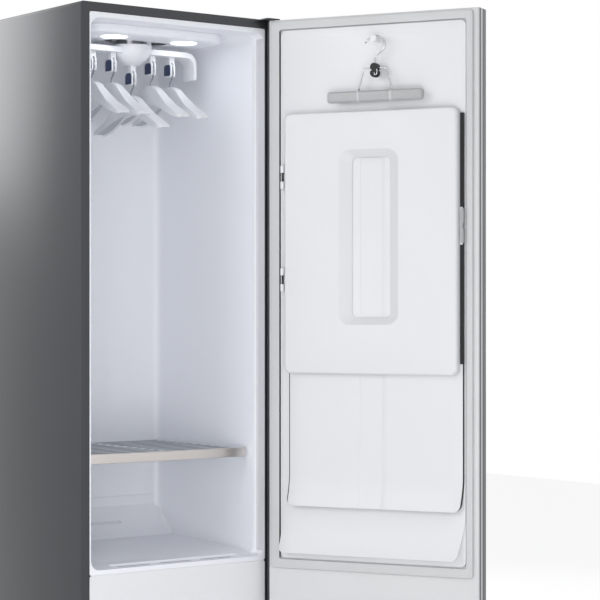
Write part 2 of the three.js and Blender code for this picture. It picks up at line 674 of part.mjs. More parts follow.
const hanger = {
  spanShare: 0.347, neckHalf: 19, neckTop: 58, tipDrop: 97, tipHeight: 12, waist: 50, neckWidth: 8.5,
  shoulderWidth: 20, hookRadius: 17, wireRadius: 1.7, tailDrop: 8, socket: 12,
};
const hangerHalf = INTERIOR_DEPTH * hanger.spanShare;
const ribHeight = (x) => holderBottom(x) + holder.headHeight - holder.ribDrop;
const hookTop = (x) => ribHeight(x) + holder.ribRadius + hanger.wireRadius + SEAT_GAP;
const neckTopZ = (x) => hookTop(x) - hanger.neckTop;

function hangerHook(x) {
  const { hookRadius, tailDrop, socket } = hanger;
  const centreZ = hookTop(x) - hookRadius;
  const points = [new THREE.Vector3(x, HANG_Y + hookRadius, centreZ - tailDrop)];
  for (const turn of [0, 0.25, 0.5, 0.75, 1]) {
    const angle = turn * Math.PI;
    points.push(new THREE.Vector3(
      x, HANG_Y + hookRadius * Math.cos(angle), centreZ + hookRadius * Math.sin(angle),
    ));
  }
  points.push(new THREE.Vector3(x, HANG_Y - hookRadius * 0.8, centreZ - hookRadius * 0.8));
  points.push(new THREE.Vector3(x, HANG_Y, neckTopZ(x) + hookRadius / 2));
  points.push(new THREE.Vector3(x, HANG_Y, neckTopZ(x)));
  points.push(new THREE.Vector3(x, HANG_Y, neckTopZ(x) - socket));
  return wire(new THREE.CatmullRomCurve3(points), hanger.wireRadius, 20);
}

function hangerBody(x) {
  const top = neckTopZ(x);
  const halfSpan = hangerHalf;
  const { neckHalf, tipDrop, tipHeight, waist, neckWidth, shoulderWidth, socket } = hanger;
  const side = new THREE.Shape();
  const front = HANG_Y - halfSpan;
  const rear = HANG_Y + halfSpan;
  const tip = top - tipDrop;
  side.moveTo(HANG_Y + neckHalf, top);
  side.bezierCurveTo(
    HANG_Y + neckHalf * 2.4, top, HANG_Y + halfSpan * 0.4, top - tipDrop * 0.52, rear - tipHeight, tip + tipHeight,
  );
  side.quadraticCurveTo(rear, tip + tipHeight / 2, rear - tipHeight / 2, tip);
  side.bezierCurveTo(
    HANG_Y + halfSpan * 0.62, tip + tipHeight * 0.4, HANG_Y + halfSpan * 0.36, top - waist, HANG_Y, top - waist,
  );
  side.bezierCurveTo(
    HANG_Y - halfSpan * 0.36, top - waist, HANG_Y - halfSpan * 0.62, tip + tipHeight * 0.4,
    front + tipHeight / 2, tip,
  );
  side.quadraticCurveTo(front, tip + tipHeight / 2, front + tipHeight, tip + tipHeight);
  side.bezierCurveTo(
    HANG_Y - halfSpan * 0.4, top - tipDrop * 0.52, HANG_Y - neckHalf * 2.4, top, HANG_Y - neckHalf, top,
  );
  const plan = new THREE.Shape();
  plan.moveTo(x + neckWidth, HANG_Y);
  plan.bezierCurveTo(
    x + neckWidth, HANG_Y + halfSpan / 3, x + shoulderWidth, HANG_Y + halfSpan / 2,
    x + shoulderWidth, rear - shoulderWidth,
  );
  plan.quadraticCurveTo(x + shoulderWidth, rear, x, rear);
  plan.quadraticCurveTo(x - shoulderWidth, rear, x - shoulderWidth, rear - shoulderWidth);
  plan.bezierCurveTo(
    x - shoulderWidth, HANG_Y + halfSpan / 2, x - neckWidth, HANG_Y + halfSpan / 3, x - neckWidth, HANG_Y,
  );
  plan.bezierCurveTo(
    x - neckWidth, HANG_Y - halfSpan / 3, x - shoulderWidth, HANG_Y - halfSpan / 2,
    x - shoulderWidth, front + shoulderWidth,
  );
  plan.quadraticCurveTo(x - shoulderWidth, front, x, front);
  plan.quadraticCurveTo(x + shoulderWidth, front, x + shoulderWidth, front + shoulderWidth);
  plan.bezierCurveTo(
    x + shoulderWidth, HANG_Y - halfSpan / 2, x + neckWidth, HANG_Y - halfSpan / 3, x + neckWidth, HANG_Y,
  );
  const silhouette = prism("x", side, x - shoulderWidth - 1, x + shoulderWidth + 1, 4);
  const footprint = prism("z", plan, tip - tipHeight, top + tipHeight, 3);
  const hookHole = rod("z", x, HANG_Y, hanger.wireRadius + SEAT_GAP, top - socket - SEAT_GAP, top + OVERCUT, 8);
  return cut(silhouette.intersect(footprint), [hookHole]);
}

holderPlaces.forEach((x, index) => {
  addPiece(group, `hanger_hook_${index + 1}`, hangerHook(x), finishes.chrome);
  addPiece(group, `garment_hanger_${index + 1}`, hangerBody(x), finishes.whitePlastic);
});

// Shelf: a slatted tray with a metal front trim, which slides on two side rails

const shelf = {
  rise: 286, thickness: 12, front: 54, backSpace: 14, sideGap: 3, rimWidth: 16, slatCount: 9, slatBar: 14,
  trimDepth: 12, trimRise: 1, trimHeight: 25, bow: 8, endCap: 5,
};
const rail = { width: 11, height: 9, lip: 3, front: 62, backSpace: 20 };
const shelfX = OPENING_HALF - shelf.sideGap;
const shelfTop = FLOOR_Z + shelf.rise;
const shelfBottom = shelfTop - shelf.thickness;
const shelfBack = INTERIOR_DEPTH - shelf.backSpace;

function shelfTray() {
  const plate = softPrism(
    "z", roundRect(-shelfX, shelfX, shelf.front, shelfBack, shelf.rimWidth), shelfBottom, shelfTop, 2, 1,
  );
  const innerX = shelfX - 2 * shelf.rimWidth;
  const pitch = (shelfBack - shelf.front - 2 * shelf.rimWidth) / shelf.slatCount;
  const gaps = [];
  for (let i = 0; i < shelf.slatCount; i += 1) {
    const low = shelf.front + shelf.rimWidth + i * pitch + shelf.slatBar / 2;
    const high = low + pitch - shelf.slatBar;
    for (const side of [-1, 1]) {
      const a = side * shelf.slatBar / 2;
      const b = side * innerX;
      gaps.push(block(Math.min(a, b), Math.max(a, b), low, high, shelfBottom - OVERCUT, shelfTop + OVERCUT));
    }
  }
  return cut(plate, gaps);
}
addPiece(group, "shelf_tray", shelfTray(), finishes.palePanel);

function shelfTrim() {
  const { front, trimDepth, bow, trimRise, trimHeight, endCap } = shelf;
  const trimTop = shelfTop + trimRise;
  const face = front - trimDepth;
  const shape = new THREE.Shape();
  shape.moveTo(-shelfX + endCap, front - SEAT_GAP);
  shape.lineTo(-shelfX + endCap, face + bow);
  shape.quadraticCurveTo(0, face - bow, shelfX - endCap, face + bow);
  shape.lineTo(shelfX - endCap, front - SEAT_GAP);
  return softPrism("z", shape, trimTop - trimHeight, trimTop, SHEET, 1, 6);
}
addPiece(group, "shelf_front_trim", shelfTrim(), finishes.champagne);

function shelfRail() {
  const wallX = OPENING_HALF - SEAT_GAP;
  const under = shelfBottom - SEAT_GAP;
  const profile = polygon([
    [wallX, under],
    [wallX - rail.width, under],
    [wallX - rail.width, under - rail.lip],
    [wallX, under - rail.height],
  ]);
  return prism("y", profile, rail.front, INTERIOR_DEPTH - rail.backSpace);
}
addPiece(group, "shelf_rail_right", shelfRail(), finishes.bluishWhite);
addPiece(group, "shelf_rail_left", shelfRail().mirror([1, 0, 0]), finishes.bluishWhite);

// Lower fascia: the moulded front under the interior, with an opening for each water tank

const fascia = { thickness: 2.5, low: 35, corner: 6 };
const tank = {
  sideSpace: 47.5, middleSpace: 20, backSpace: 283.7, height: 286, wall: 2.5, corner: 14, low: 62, running: 2,
  lidHeight: 12, lidLip: 6, fillRadius: 17, gripWidth: 96, gripHeight: 34, gripDepth: 20, gripDrop: 52,
};
const fasciaTop = FLOOR_Z - caseValues.topReturn / 2 - SEAT_GAP;
const tankTop = tank.low + tank.height;
const tankFront = SEAT_GAP;
const tankBack = BODY_DEPTH - tank.backSpace;
const tankWidth = frontHoleX - tank.sideSpace - tank.middleSpace;
const tankX = tank.middleSpace + tankWidth / 2;

function lowerFascia() {
  const plate = prism("y", roundRect(
    -frontHoleX + SEAT_GAP, frontHoleX - SEAT_GAP, fascia.low, fasciaTop, fascia.corner,
  ), 0, fascia.thickness, 2);
  const reach = tankWidth / 2 + tank.running;
  const holes = [-tankX, tankX].map((x) => prism("y", roundRect(
    x - reach, x + reach, tank.low - tank.running, tankTop + tank.lidHeight + 2 * tank.running, tank.corner,
  ), -OVERCUT, fascia.thickness + OVERCUT, 2));
  return cut(plate, holes);
}
addPiece(group, "lower_fascia", lowerFascia(), finishes.whitePlastic);

// Tank cradle: a tray on the base pan's stiffeners, with guides on both sides of each tank

const cradle = { plate: 3, guideHeight: 24, guideWidth: 5, backSpace: 258, legWidth: 12, legInset: 30, stop: 4 };
const cradleTop = tank.low - SEAT_GAP;
const cradleBack = BODY_DEPTH - cradle.backSpace;
const cradleX = tankX + tankWidth / 2 + tank.running + cradle.guideWidth;

function tankCradle() {
  const front = fascia.thickness + SEAT_GAP;
  const plate = block(-cradleX, cradleX, front, cradleBack, cradleTop - cradle.plate, cradleTop);
  const inner = tankX - tankWidth / 2 - tank.running;
  const guideTop = cradleTop + cradle.guideHeight;
  const middle = block(-inner, inner, front, cradleBack, cradleTop - cradle.plate / 2, guideTop);
  const sides = [-1, 1].map((side) => {
    const a = side * cradleX;
    const b = side * (cradleX - cradle.guideWidth);
    return block(Math.min(a, b), Math.max(a, b), front, cradleBack, cradleTop - cradle.plate / 2, guideTop);
  });
  const stop = block(-cradleX, cradleX, cradleBack - cradle.stop, cradleBack, cradleTop - cradle.plate / 2, guideTop);
  const legs = [-1, 1].flatMap((side) => [front + cradle.legInset, cradleBack - cradle.legInset].map((y) => {
    const x = side * (cradleX - cradle.legInset);
    const half = cradle.legWidth / 2;
    return block(x - half, x + half, y - half, y + half, base.plate + SEAT_GAP, cradleTop - cradle.plate / 2);
  }));
  return join([plate, middle, ...sides, stop, ...legs]);
}
addPiece(group, "tank_cradle", tankCradle(), finishes.greyPlastic);

// Water tanks: blow-moulded boxes with a grip recess in the front and a lid with a filler hole

function waterTank(x) {
  const { wall, corner, low, gripWidth, gripHeight, gripDepth, gripDrop } = tank;
  const width = tankWidth;
  const back = tankBack;
  const outer = softPrism(
    "y", roundRect(x - width / 2, x + width / 2, low, tankTop, corner), tankFront, back, wall, 1, 2,
  );
  const inner = prism("y", roundRect(
    x - width / 2 + wall, x + width / 2 - wall, low + wall, tankTop + tank.height, corner - wall,
  ), tankFront + wall, back - wall, 2);
  const flatTop = block(
    x - width, x + width, tankFront - OVERCUT, back + OVERCUT, tankTop - corner, tankTop + corner,
  );
  const gripMiddle = tankTop - gripDrop;
  const gripShape = (grow) => roundRect(
    x - gripWidth / 2 - grow, x + gripWidth / 2 + grow,
    gripMiddle - gripHeight / 2 - grow, gripMiddle + gripHeight / 2 + grow, gripHeight / 3,
  );
  const gripCup = prism("y", gripShape(wall), tankFront, tankFront + gripDepth + wall, 2);
  const gripHole = prism("y", gripShape(0), tankFront - OVERCUT, tankFront + gripDepth, 2);
  const shell = outer.subtract(inner).subtract(flatTop);
  return shell.add(gripCup.subtract(flatTop)).subtract(gripHole);
}

function tankLid(x) {
  const { wall, corner, lidHeight, lidLip, fillRadius } = tank;
  const width = tankWidth;
  const low = tankTop - corner + SEAT_GAP;
  const back = tankBack;
  const cap = prism("z", roundRect(
    x - width / 2, x + width / 2, tankFront, back, wall * 2,
  ), low, low + lidHeight, 2);
  const plug = prism("z", roundRect(
    x - width / 2 + wall + SEAT_GAP, x + width / 2 - wall - SEAT_GAP,
    tankFront + wall + SEAT_GAP, back - wall - SEAT_GAP, wall,
  ), low - lidLip, low + wall, 1);
  const hollow = block(
    x - width / 2 + 2 * wall, x + width / 2 - 2 * wall,
    tankFront + 2 * wall, back - 2 * wall, low - lidLip - OVERCUT, low + wall / 2,
  );
  const filler = rod("z", x, back - 3 * fillRadius, fillRadius, low - OVERCUT, low + lidHeight + OVERCUT, 20);
  return cut(cap.add(plug), [hollow, filler]);
}
addPiece(group, "fresh_water_tank", waterTank(-tankX), finishes.tankClear);
addPiece(group, "fresh_tank_lid", tankLid(-tankX), finishes.whitePlastic);
addPiece(group, "drain_tank", waterTank(tankX), finishes.tankClear);
addPiece(group, "drain_tank_lid", tankLid(tankX), finishes.greyPlastic);

// Lint filter: a frame that lifts out of the pocket in the floor; its top shows three intake slots

const filter = { clear: 0.6, lengthShare: 0.2551, pitchShare: 0.648, slotShare: 0.3, corner: 4 };
const filterTop = FLOOR_Z + liner.floorStep * 0.15;

function lintFilter() {
  const halfLength = pocketHalf - filter.clear;
  const front = filterPocket.front + filter.clear;
  const rear = filterPocket.back - filter.clear;
  const low = pocketBottom + LINER + SEAT_GAP;
  const middle = (front + rear) / 2;
  const body = softPrism("z", roundRect(-halfLength, halfLength, front, rear, filter.corner), low, filterTop, SHEET, 1, 2);
  const slotHalf = pocketHalf * filter.lengthShare;
  const pitch = pocketHalf * filter.pitchShare;
  const slotDepth = (rear - front) * filter.slotShare;
  const slots = [-pitch, 0, pitch].map((x) => prism("z", roundRect(
    x - slotHalf, x + slotHalf, middle - slotDepth / 2, middle + slotDepth / 2, slotDepth / 2.2,
  ), low - OVERCUT, filterTop + OVERCUT, 2));
  return cut(body, slots);
}
addPiece(group, "lint_filter", lintFilter(), finishes.bluishWhite);

// Unit deck: a folded sheet between the side walls that carries the fan, steam generator and controls

const deck = { z: 298, depth: 252, thickness: 1.5, flange: 22, back: 6 };
const deckFront = BODY_DEPTH - deck.depth;
const deckTop = deck.z + deck.thickness;
const deckBack = backPlaneY - deck.back;
const coil = {
  lengthShare: 0.405, sideSpace: 36.3, frontReach: [220, 120], depth: 44, low: 24, top: 250, finCount: 8, fin: 1.5,
  plate: 3, core: 6, tubeRadius: 4, tubeRows: 3,
};
const coilHalf = caseInnerX * coil.lengthShare;
const coilX = coilHalf + coil.sideSpace - caseInnerX;
const fan = { backReach: 128, radius: 74, height: 62, wall: 2, inletRadius: 46, outletWidth: 62, outletReach: 40 };
const fanY = BODY_DEPTH - fan.backReach;
const impeller = { hubRadius: 15, tipRadius: 64, innerRadius: 48, bladeCount: 12, bladeThickness: 2, plate: 2.5, running: 3 };

function unitDeck() {
  const x = caseInnerX - SEAT_GAP;
  const sheet = block(-x, x, deckFront, deckBack, deck.z, deckTop);
  const sides = [-1, 1].map((side) => {
    const a = side * x;
    const b = side * (x - deck.thickness);
    return block(Math.min(a, b), Math.max(a, b), deckFront, deckBack, deck.z - deck.flange, deckTop);
  });
  const front = block(-x, x, deckFront, deckFront + deck.thickness, deck.z - deck.flange, deckTop);
  const inlet = rod("z", coilX, fanY, fan.inletRadius, deck.z - OVERCUT, deckTop + OVERCUT, 20);
  return join([sheet, ...sides, front]).subtract(inlet);
}
addPiece(group, "unit_deck", unitDeck(), finishes.galvanised);

// Circulation fan: a scroll housing over the deck's inlet with a bladed wheel in it

function fanScroll() {
  const low = deckTop + SEAT_GAP;
  const high = low + fan.height;
  const drum = rod("z", coilX, fanY, fan.radius, low, high, 24);
  const reachY = fanY - fan.radius - fan.outletReach;
  const ductOuter = block(coilX + fan.radius - fan.outletWidth, coilX + fan.radius, reachY, fanY, low, high);
  const bore = rod("z", coilX, fanY, fan.radius - fan.wall, low + fan.wall, high - fan.wall, 24);
  const ductInner = block(
    coilX + fan.radius - fan.outletWidth + fan.wall, coilX + fan.radius - fan.wall,
    reachY - OVERCUT, fanY, low + fan.wall, high - fan.wall,
  );
  const inlet = rod("z", coilX, fanY, fan.inletRadius, low - OVERCUT, low + 2 * fan.wall, 20);
  const boss = rod("z", coilX, fanY, impeller.hubRadius, high - fan.wall - impeller.running * 3, high, 16);
  const axle = rod("z", coilX, fanY, impeller.hubRadius / 3, low + impeller.running * 3, high, 12);
  return cut(drum.add(ductOuter), [bore, ductInner, inlet]).add(boss).add(axle);
}
addPiece(group, "fan_scroll", fanScroll(), finishes.blackPlastic);

function fanImpeller() {
  const low = deckTop + SEAT_GAP + fan.wall + impeller.running;
  const high = deckTop + SEAT_GAP + fan.height - fan.wall - impeller.running * 4;
  const plate = rod("z", coilX, fanY, impeller.tipRadius, high - impeller.plate, high, 24);
  const hub = rod("z", coilX, fanY, impeller.hubRadius, high - impeller.hubRadius, high, 16);
  const blades = [];
  for (let i = 0; i < impeller.bladeCount; i += 1) {
    const blade = block(
      impeller.innerRadius, impeller.tipRadius - impeller.bladeThickness,
      -impeller.bladeThickness / 2, impeller.bladeThickness / 2, low, high - impeller.plate / 2,
    );
    blades.push(blade.rotate([0, 0, (i * 360) / impeller.bladeCount]).translate([coilX, fanY, 0]));
  }
  const ring = rod("z", coilX, fanY, impeller.tipRadius, low, low + impeller.plate, 24)
    .subtract(rod("z", coilX, fanY, impeller.innerRadius, low - OVERCUT, low + OVERCUT, 24));
  const bore = rod("z", coilX, fanY, impeller.hubRadius / 3 + SEAT_GAP, low - OVERCUT, high + OVERCUT, 12);
  return join([plate, hub, ring, ...blades]).subtract(bore);
}
addPiece(group, "fan_impeller", fanImpeller(), finishes.greyPlastic);

// Compressor: a drawn steel pot on a three-legged foot plate, for the drying heat pump

const compressor = { sideSpace: 131.3, radius: 60, shoulder: 22, height: 210, footRadius: 78, footPlate: 3, mount: 16, legs: 3 };

function compressorPot() {
  const { radius, shoulder, height, footRadius, footPlate, mount } = compressor;
  const x = caseInnerX - compressor.sideSpace;
  const y = fanY;
  const low = base.plate + SEAT_GAP + mount;
  const top = low + footPlate + height;
  const pot = turned([
    [0, low], [radius * 0.8, low], [radius, low + shoulder], [radius, top - 2 * shoulder],
    [radius * 0.88, top - shoulder], [radius * 0.5, top - shoulder * 0.25], [0, top],
  ], x, y, 18);
  const seam = turned([
    [radius * 0.9, top - 3 * shoulder], [radius * 1.04, top - 3 * shoulder],
    [radius * 1.04, top - 2.7 * shoulder], [radius * 0.9, top - 2.7 * shoulder],
    [radius * 0.9, top - 3 * shoulder],
  ], x, y, 18);
  const legs = [];
  for (let i = 0; i < compressor.legs; i += 1) {
    const leg = block(0, footRadius, -mount, mount, low, low + footPlate);
    const peg = rod("z", footRadius - mount, 0, mount * 0.75, base.plate + SEAT_GAP, low + footPlate, 12);
    const angle = (i * 360) / compressor.legs + 90;
    legs.push(leg.add(peg).rotate([0, 0, angle]).translate([x, y, 0]));
  }
  return join([pot, seam, ...legs]);
}
addPiece(group, "compressor", compressorPot(), finishes.compressorBlack);

// Heat exchanger: the heat pump's two finned coils, one behind the other under the fan

const coilFronts = coil.frontReach.map((reach) => BODY_DEPTH - reach);

const coilLow = base.ribHeight + SEAT_GAP;

function finnedCoil(front) {
  const back = front + coil.depth;
  const x0 = coilX - coilHalf;
  const x1 = coilX + coilHalf;
  const pieces = [
    block(x0, x0 + coil.plate, front, back, coilLow, coil.top),
    block(x1 - coil.plate, x1, front, back, coilLow, coil.top),
  ];
  const middle = (front + back) / 2;
  pieces.push(block(x0 + coil.fin, x1 - coil.fin, middle - coil.core / 2, middle + coil.core / 2, coil.low, coil.top));
  for (let i = 1; i <= coil.finCount; i += 1) {
    const x = x0 + (i * 2 * coilHalf) / (coil.finCount + 1);
    pieces.push(block(
      x - coil.fin / 2, x + coil.fin / 2, front + coil.fin, back - coil.fin, coil.low - coil.fin, coil.top - coil.fin,
    ));
  }
  const pitch = (coil.top - coil.low) / coil.tubeRows;
  for (let row = 0; row < coil.tubeRows; row += 1) {
    const z = coil.low + (row + 0.5) * pitch;
    pieces.push(rod("x", middle, z, coil.tubeRadius, x0 - 2 * coil.tubeRadius, x0 + coil.fin, 6));
    pieces.push(rod("x", middle, z, coil.tubeRadius, x1 - coil.fin, x1 + 2 * coil.tubeRadius, 6));
  }
  return join(pieces);
}

// Both coils stand in one drip tray
function coilPack() {
  const x0 = coilX - coilHalf;
  const x1 = coilX + coilHalf;
  const front = coilFronts[0];
  const back = coilFronts[1] + coil.depth;
  const tray = block(x0, x1, front, back, coilLow, coilLow + coil.plate);
  const rear = block(x0, x1, back - coil.plate, back, coilLow, coil.low);
  return join([tray, rear, ...coilFronts.map(finnedCoil)]);
}
addPiece(group, "heat_exchanger", coilPack(), finishes.aluminium);

// Steam generator: a small insulated boiler on the deck, between the fan and the control box

const control = { sideSpace: 8.3, width: 98, backSpace: 40, length: 180, height: 96, corner: 8, rim: 3, grooves: 5 };
const controlRight = caseInnerX - control.sideSpace;

const boiler = { backReach: 120, halfWidth: 48, halfDepth: 40, height: 104, corner: 16, portRadius: 10, portHeight: 12, rim: 4 };

function steamGenerator() {
  const { halfWidth, halfDepth, height, corner, portRadius, portHeight, rim } = boiler;
  const x = (coilX + fan.radius + controlRight - control.width) / 2;
  const y = BODY_DEPTH - boiler.backReach;
  const low = deckTop + SEAT_GAP;
  const pot = softPrism(
    "z", roundRect(x - halfWidth, x + halfWidth, y - halfDepth, y + halfDepth, corner), low, low + height, rim, 2, 2,
  );
  return pot.add(rod("z", x, y, portRadius, low + height - OVERCUT, low + height + portHeight, 16));
}
addPiece(group, "steam_generator", steamGenerator(), finishes.galvanised);

// Control box: the power electronics in a closed plastic case on the deck


function controlBox() {
  const low = deckTop + SEAT_GAP;
  const left = controlRight - control.width;
  const back = BODY_DEPTH - control.backSpace;
  const front = back - control.length;
  const box = softPrism(
    "z", roundRect(left, controlRight, front, back, control.corner), low, low + control.height, control.rim, 1, 2,
  );
  const grooves = [];
  for (let i = 1; i <= control.grooves; i += 1) {
    const y = front + (i * control.length) / (control.grooves + 1);
    grooves.push(block(
      left - OVERCUT, left + SHEET, y - SHEET, y + SHEET, low + control.height / 4, low + (control.height * 3) / 4,
    ));
  }
  return cut(box, grooves);
}
addPiece(group, "control_box", controlBox(), finishes.greyPlastic);

// Hinge brackets: a plate on the case's front corner, top and bottom, each with the door's pin

const hinge = {
  inset: 14, depthInDoor: 14, pinRadius: 5, plate: 4, plateReach: 46, lowZ: 16, pinLength: 16, running: 0.3,
  pocket: 5,
};
const hingeX = HALF_WIDTH - hinge.inset;
const hingeY = -(DOOR_GAP + hinge.depthInDoor);
const doorLow = hinge.lowZ + hinge.plate + SHEET;
const doorHigh = CABINET_HEIGHT - hinge.plate - SHEET;

function hingeBracket(plateLow, pinFrom, pinTo) {
  const front = hingeY - hinge.inset;
  const plate = prism("z", roundRect(
    HALF_WIDTH - hinge.plateReach, HALF_WIDTH, front, -SEAT_GAP, hinge.inset / 2,
  ), plateLow, plateLow + hinge.plate);
  return plate.add(rod("z", hingeX, hingeY, hinge.pinRadius, pinFrom, pinTo));
}

const lowerBracket = hingeBracket(hinge.lowZ, hinge.lowZ, doorLow + hinge.pinLength);
const upperBracket = hingeBracket(CABINET_HEIGHT - hinge.plate, doorHigh - hinge.pinLength, CABINET_HEIGHT);
addPiece(group, "lower_hinge_bracket", lowerBracket, finishes.charcoalSheet);
addPiece(group, "upper_hinge_bracket", upperBracket, finishes.charcoalSheet);

// Door, made closed in its own axes: the hinge line is the origin, the free edge lies at -X, and
// the inner face looks along +Y. A place across the door is its distance from the hinge edge.

const doorFace = hinge.depthInDoor;
const doorFront = doorFace - DOOR_THICKNESS;
const acrossDoor = (distance) => hinge.inset - distance;
const doorFreeX = acrossDoor(CABINET_WIDTH);

const doorBody = { skin: 1.5, innerPlate: 2, glass: 4, glassBorder: 5, corner: 5, handleDepth: 16, handleReach: 11 };
// A piece on the door's inner side reaches from its near inset to its far one, counted from the
// door's two upright edges, and its height is given as a rise over the interior's floor and a
// drop under its ceiling
const onDoor = (sizes) => ({
  ...sizes,
  far: CABINET_WIDTH - sizes.farInset,
  low: FLOOR_Z + sizes.rise,
  high: CEILING_Z - sizes.drop,
});
const doorLinerSizes = {
  near: 43, farInset: 33, rise: 0, drop: -2, raise: 6, corner: 14, rim: 3, recess: 3,
};
const doorLiner = onDoor(doorLinerSizes);

// A block in door places: distances from the hinge edge, heights off the inner face, and z
function doorBlock(near, far, off0, off1, z0, z1) {
  return block(acrossDoor(far), acrossDoor(near), doorFace + off0, doorFace + off1, z0, z1);
}
const doorRect = (near, far, z0, z1, radius) => roundRect(acrossDoor(far), acrossDoor(near), z0, z1, radius);

function doorShell() {
  const outline = roundRect(doorFreeX, hinge.inset, doorFront + doorBody.glass, doorFace, doorBody.corner);
  const body = prism("z", outline, doorLow, doorHigh, 2);
  const hollow = block(
    doorFreeX + doorBody.skin, hinge.inset - doorBody.skin, doorFront + doorBody.glass + doorBody.skin,
    doorFace - doorBody.innerPlate, doorLow + doorBody.skin, doorHigh - doorBody.skin,
  );
  const linerHole = doorBlock(
    doorLiner.near + doorLiner.rim, doorLiner.far - doorLiner.rim,
    -doorBody.innerPlate - OVERCUT, OVERCUT, doorLiner.low + doorLiner.rim, doorLiner.high - doorLiner.rim,
  );
  const bushes = [doorLow, doorHigh - hinge.pinLength - hinge.pocket].map((z) => rod(
    "z", 0, 0, hinge.pinRadius * 1.7, z, z + hinge.pinLength + hinge.pocket, 16,
  ));
  const bores = [
    rod("z", 0, 0, hinge.pinRadius + hinge.running, doorLow - OVERCUT, doorLow + hinge.pinLength + hinge.pocket / 2),
    rod("z", 0, 0, hinge.pinRadius + hinge.running, doorHigh - hinge.pinLength - hinge.pocket / 2, doorHigh + OVERCUT),
  ];
  return cut(body.subtract(hollow).subtract(linerHole).add(join(bushes)), bores);
}
addPiece(door, "door_shell", doorShell(), finishes.greyPlastic);

function doorGlass() {
  const { glass, glassBorder } = doorBody;
  const outline = roundRect(
    doorFreeX + glassBorder, hinge.inset - glassBorder, doorLow + glassBorder, doorHigh - glassBorder, glassBorder,
  );
  return softPrism("y", outline, doorFront, doorFront + glass - SEAT_GAP, 1, 1, 2);
}
addPiece(door, "door_glass", doorGlass(), finishes.smokedGlass);

// Door liner: the white moulded inner face, with the hanger peg and the carriers for the press

const peg = { acrossShare: 0.5445, drop: 38, radius: 9, neckRadius: 6, reach: 46, head: 7 };
const pegAcross = CABINET_WIDTH * peg.acrossShare;
const pegX = acrossDoor(pegAcross);
const pegZ = CEILING_Z - peg.drop;

function doorLinerPanel() {
  const { near, far, low, high, raise, corner, rim, recess } = doorLiner;
  const plate = softPrism("y", doorRect(near, far, low, high, corner),
    doorFace + SEAT_GAP, doorFace + raise, rim / 2, 2, 2);
  const tray = doorBlock(
    near + 2 * rim, far - 2 * rim, -recess - doorBody.innerPlate, SEAT_GAP + rim / 2, low + 2 * rim, high - 2 * rim,
  );
  
  const base0 = doorFace + raise - rim / 2;
  const tip = doorFace + peg.reach;
  const shaft = rod("y", pegX, pegZ, peg.neckRadius, base0, tip, 16);
  const head = rod("y", pegX, pegZ, peg.radius, tip - peg.head, tip, 16);
  const foot0 = rod("y", pegX, pegZ, peg.radius, base0, doorFace + raise + rim, 16);
  return join([plate, tray, shaft, head, foot0]);
}
addPiece(door, "door_liner", doorLinerPanel(), finishes.whitePlastic);

// Gasket: a soft magnetic strip all round the opening, pressed into the door's inner face

const gasket = { height: 9, cornerOuter: 8, cornerInner: 5, rim: 3 };
const gasketOuterSizes = { near: 14, farInset: 14, rise: -28, drop: -27 };
const gasketOuter = onDoor(gasketOuterSizes);
const gasketInnerSizes = { near: 36, farInset: 27, rise: -9, drop: -10 };
const gasketInner = onDoor(gasketInnerSizes);

function doorGasket() {
  const ring = softPrism(
    "y", doorRect(gasketOuter.near, gasketOuter.far, gasketOuter.low, gasketOuter.high, gasket.cornerOuter),
    doorFace + SEAT_GAP, doorFace + gasket.height, gasket.rim, 2, 2,
  );
  const hole = prism(
    "y", doorRect(gasketInner.near, gasketInner.far, gasketInner.low, gasketInner.high, gasket.cornerInner),
    doorFace - OVERCUT, doorFace + gasket.height + OVERCUT, 2,
  );
  return ring.subtract(hole);
}
addPiece(door, "door_gasket", doorGasket(), finishes.gasketGrey);

// A closed body between two outlines with the same number of points, in planes square to y
function loftY(shapeNear, shapeFar, near, far, curveSegments = 2) {
  const first = shapeNear.getPoints(curveSegments);
  const second = shapeFar.getPoints(curveSegments);
  if (first[0].equals(first[first.length - 1])) {
    first.pop();
    second.pop();
  }
  const count = first.length;
  const corners = [];
  const push = (point, y) => corners.push(point.x, y, point.y);
  for (const [a, b, c] of THREE.ShapeUtils.triangulateShape(first, [])) {
    push(first[a], near);
    push(first[b], near);
    push(first[c], near);
    push(second[a], far);
    push(second[c], far);
    push(second[b], far);
  }
  for (let i = 0; i < count; i += 1) {
    const j = (i + 1) % count;
    push(first[i], near);
    push(second[i], far);
    push(first[j], near);
    push(first[j], near);
    push(second[i], far);
    push(second[j], far);
  }
  const geometry = new THREE.BufferGeometry();
  geometry.setAttribute("position", new THREE.Float32BufferAttribute(corners, 3));
  return solidOf(geometry);
}

// Press sheets: two flexible boards hanging behind the press panel, their lower edges flared out

const sheet = { thickness: 1.8, space: 0.5 };
const rearSheetSizes = {
  near: 50, farInset: 33, rise: 16, drop: 249, cornerLow: 26, taper: 15, flareLength: 102, flare: 22,
};
const rearSheet = onDoor(rearSheetSizes);
const frontSheetSizes = {
  near: 73, farInset: 39, rise: 140, drop: 239, cornerLow: 24, taper: 5, flareLength: 78, flare: 12,
  bandHalf: 28, bandRaise: 1.4,
};
const frontSheet = onDoor(frontSheetSizes);
const rearSheetFace = doorFace + doorLiner.raise + sheet.space;
const frontSheetFace = rearSheetFace + sheet.thickness + sheet.space;

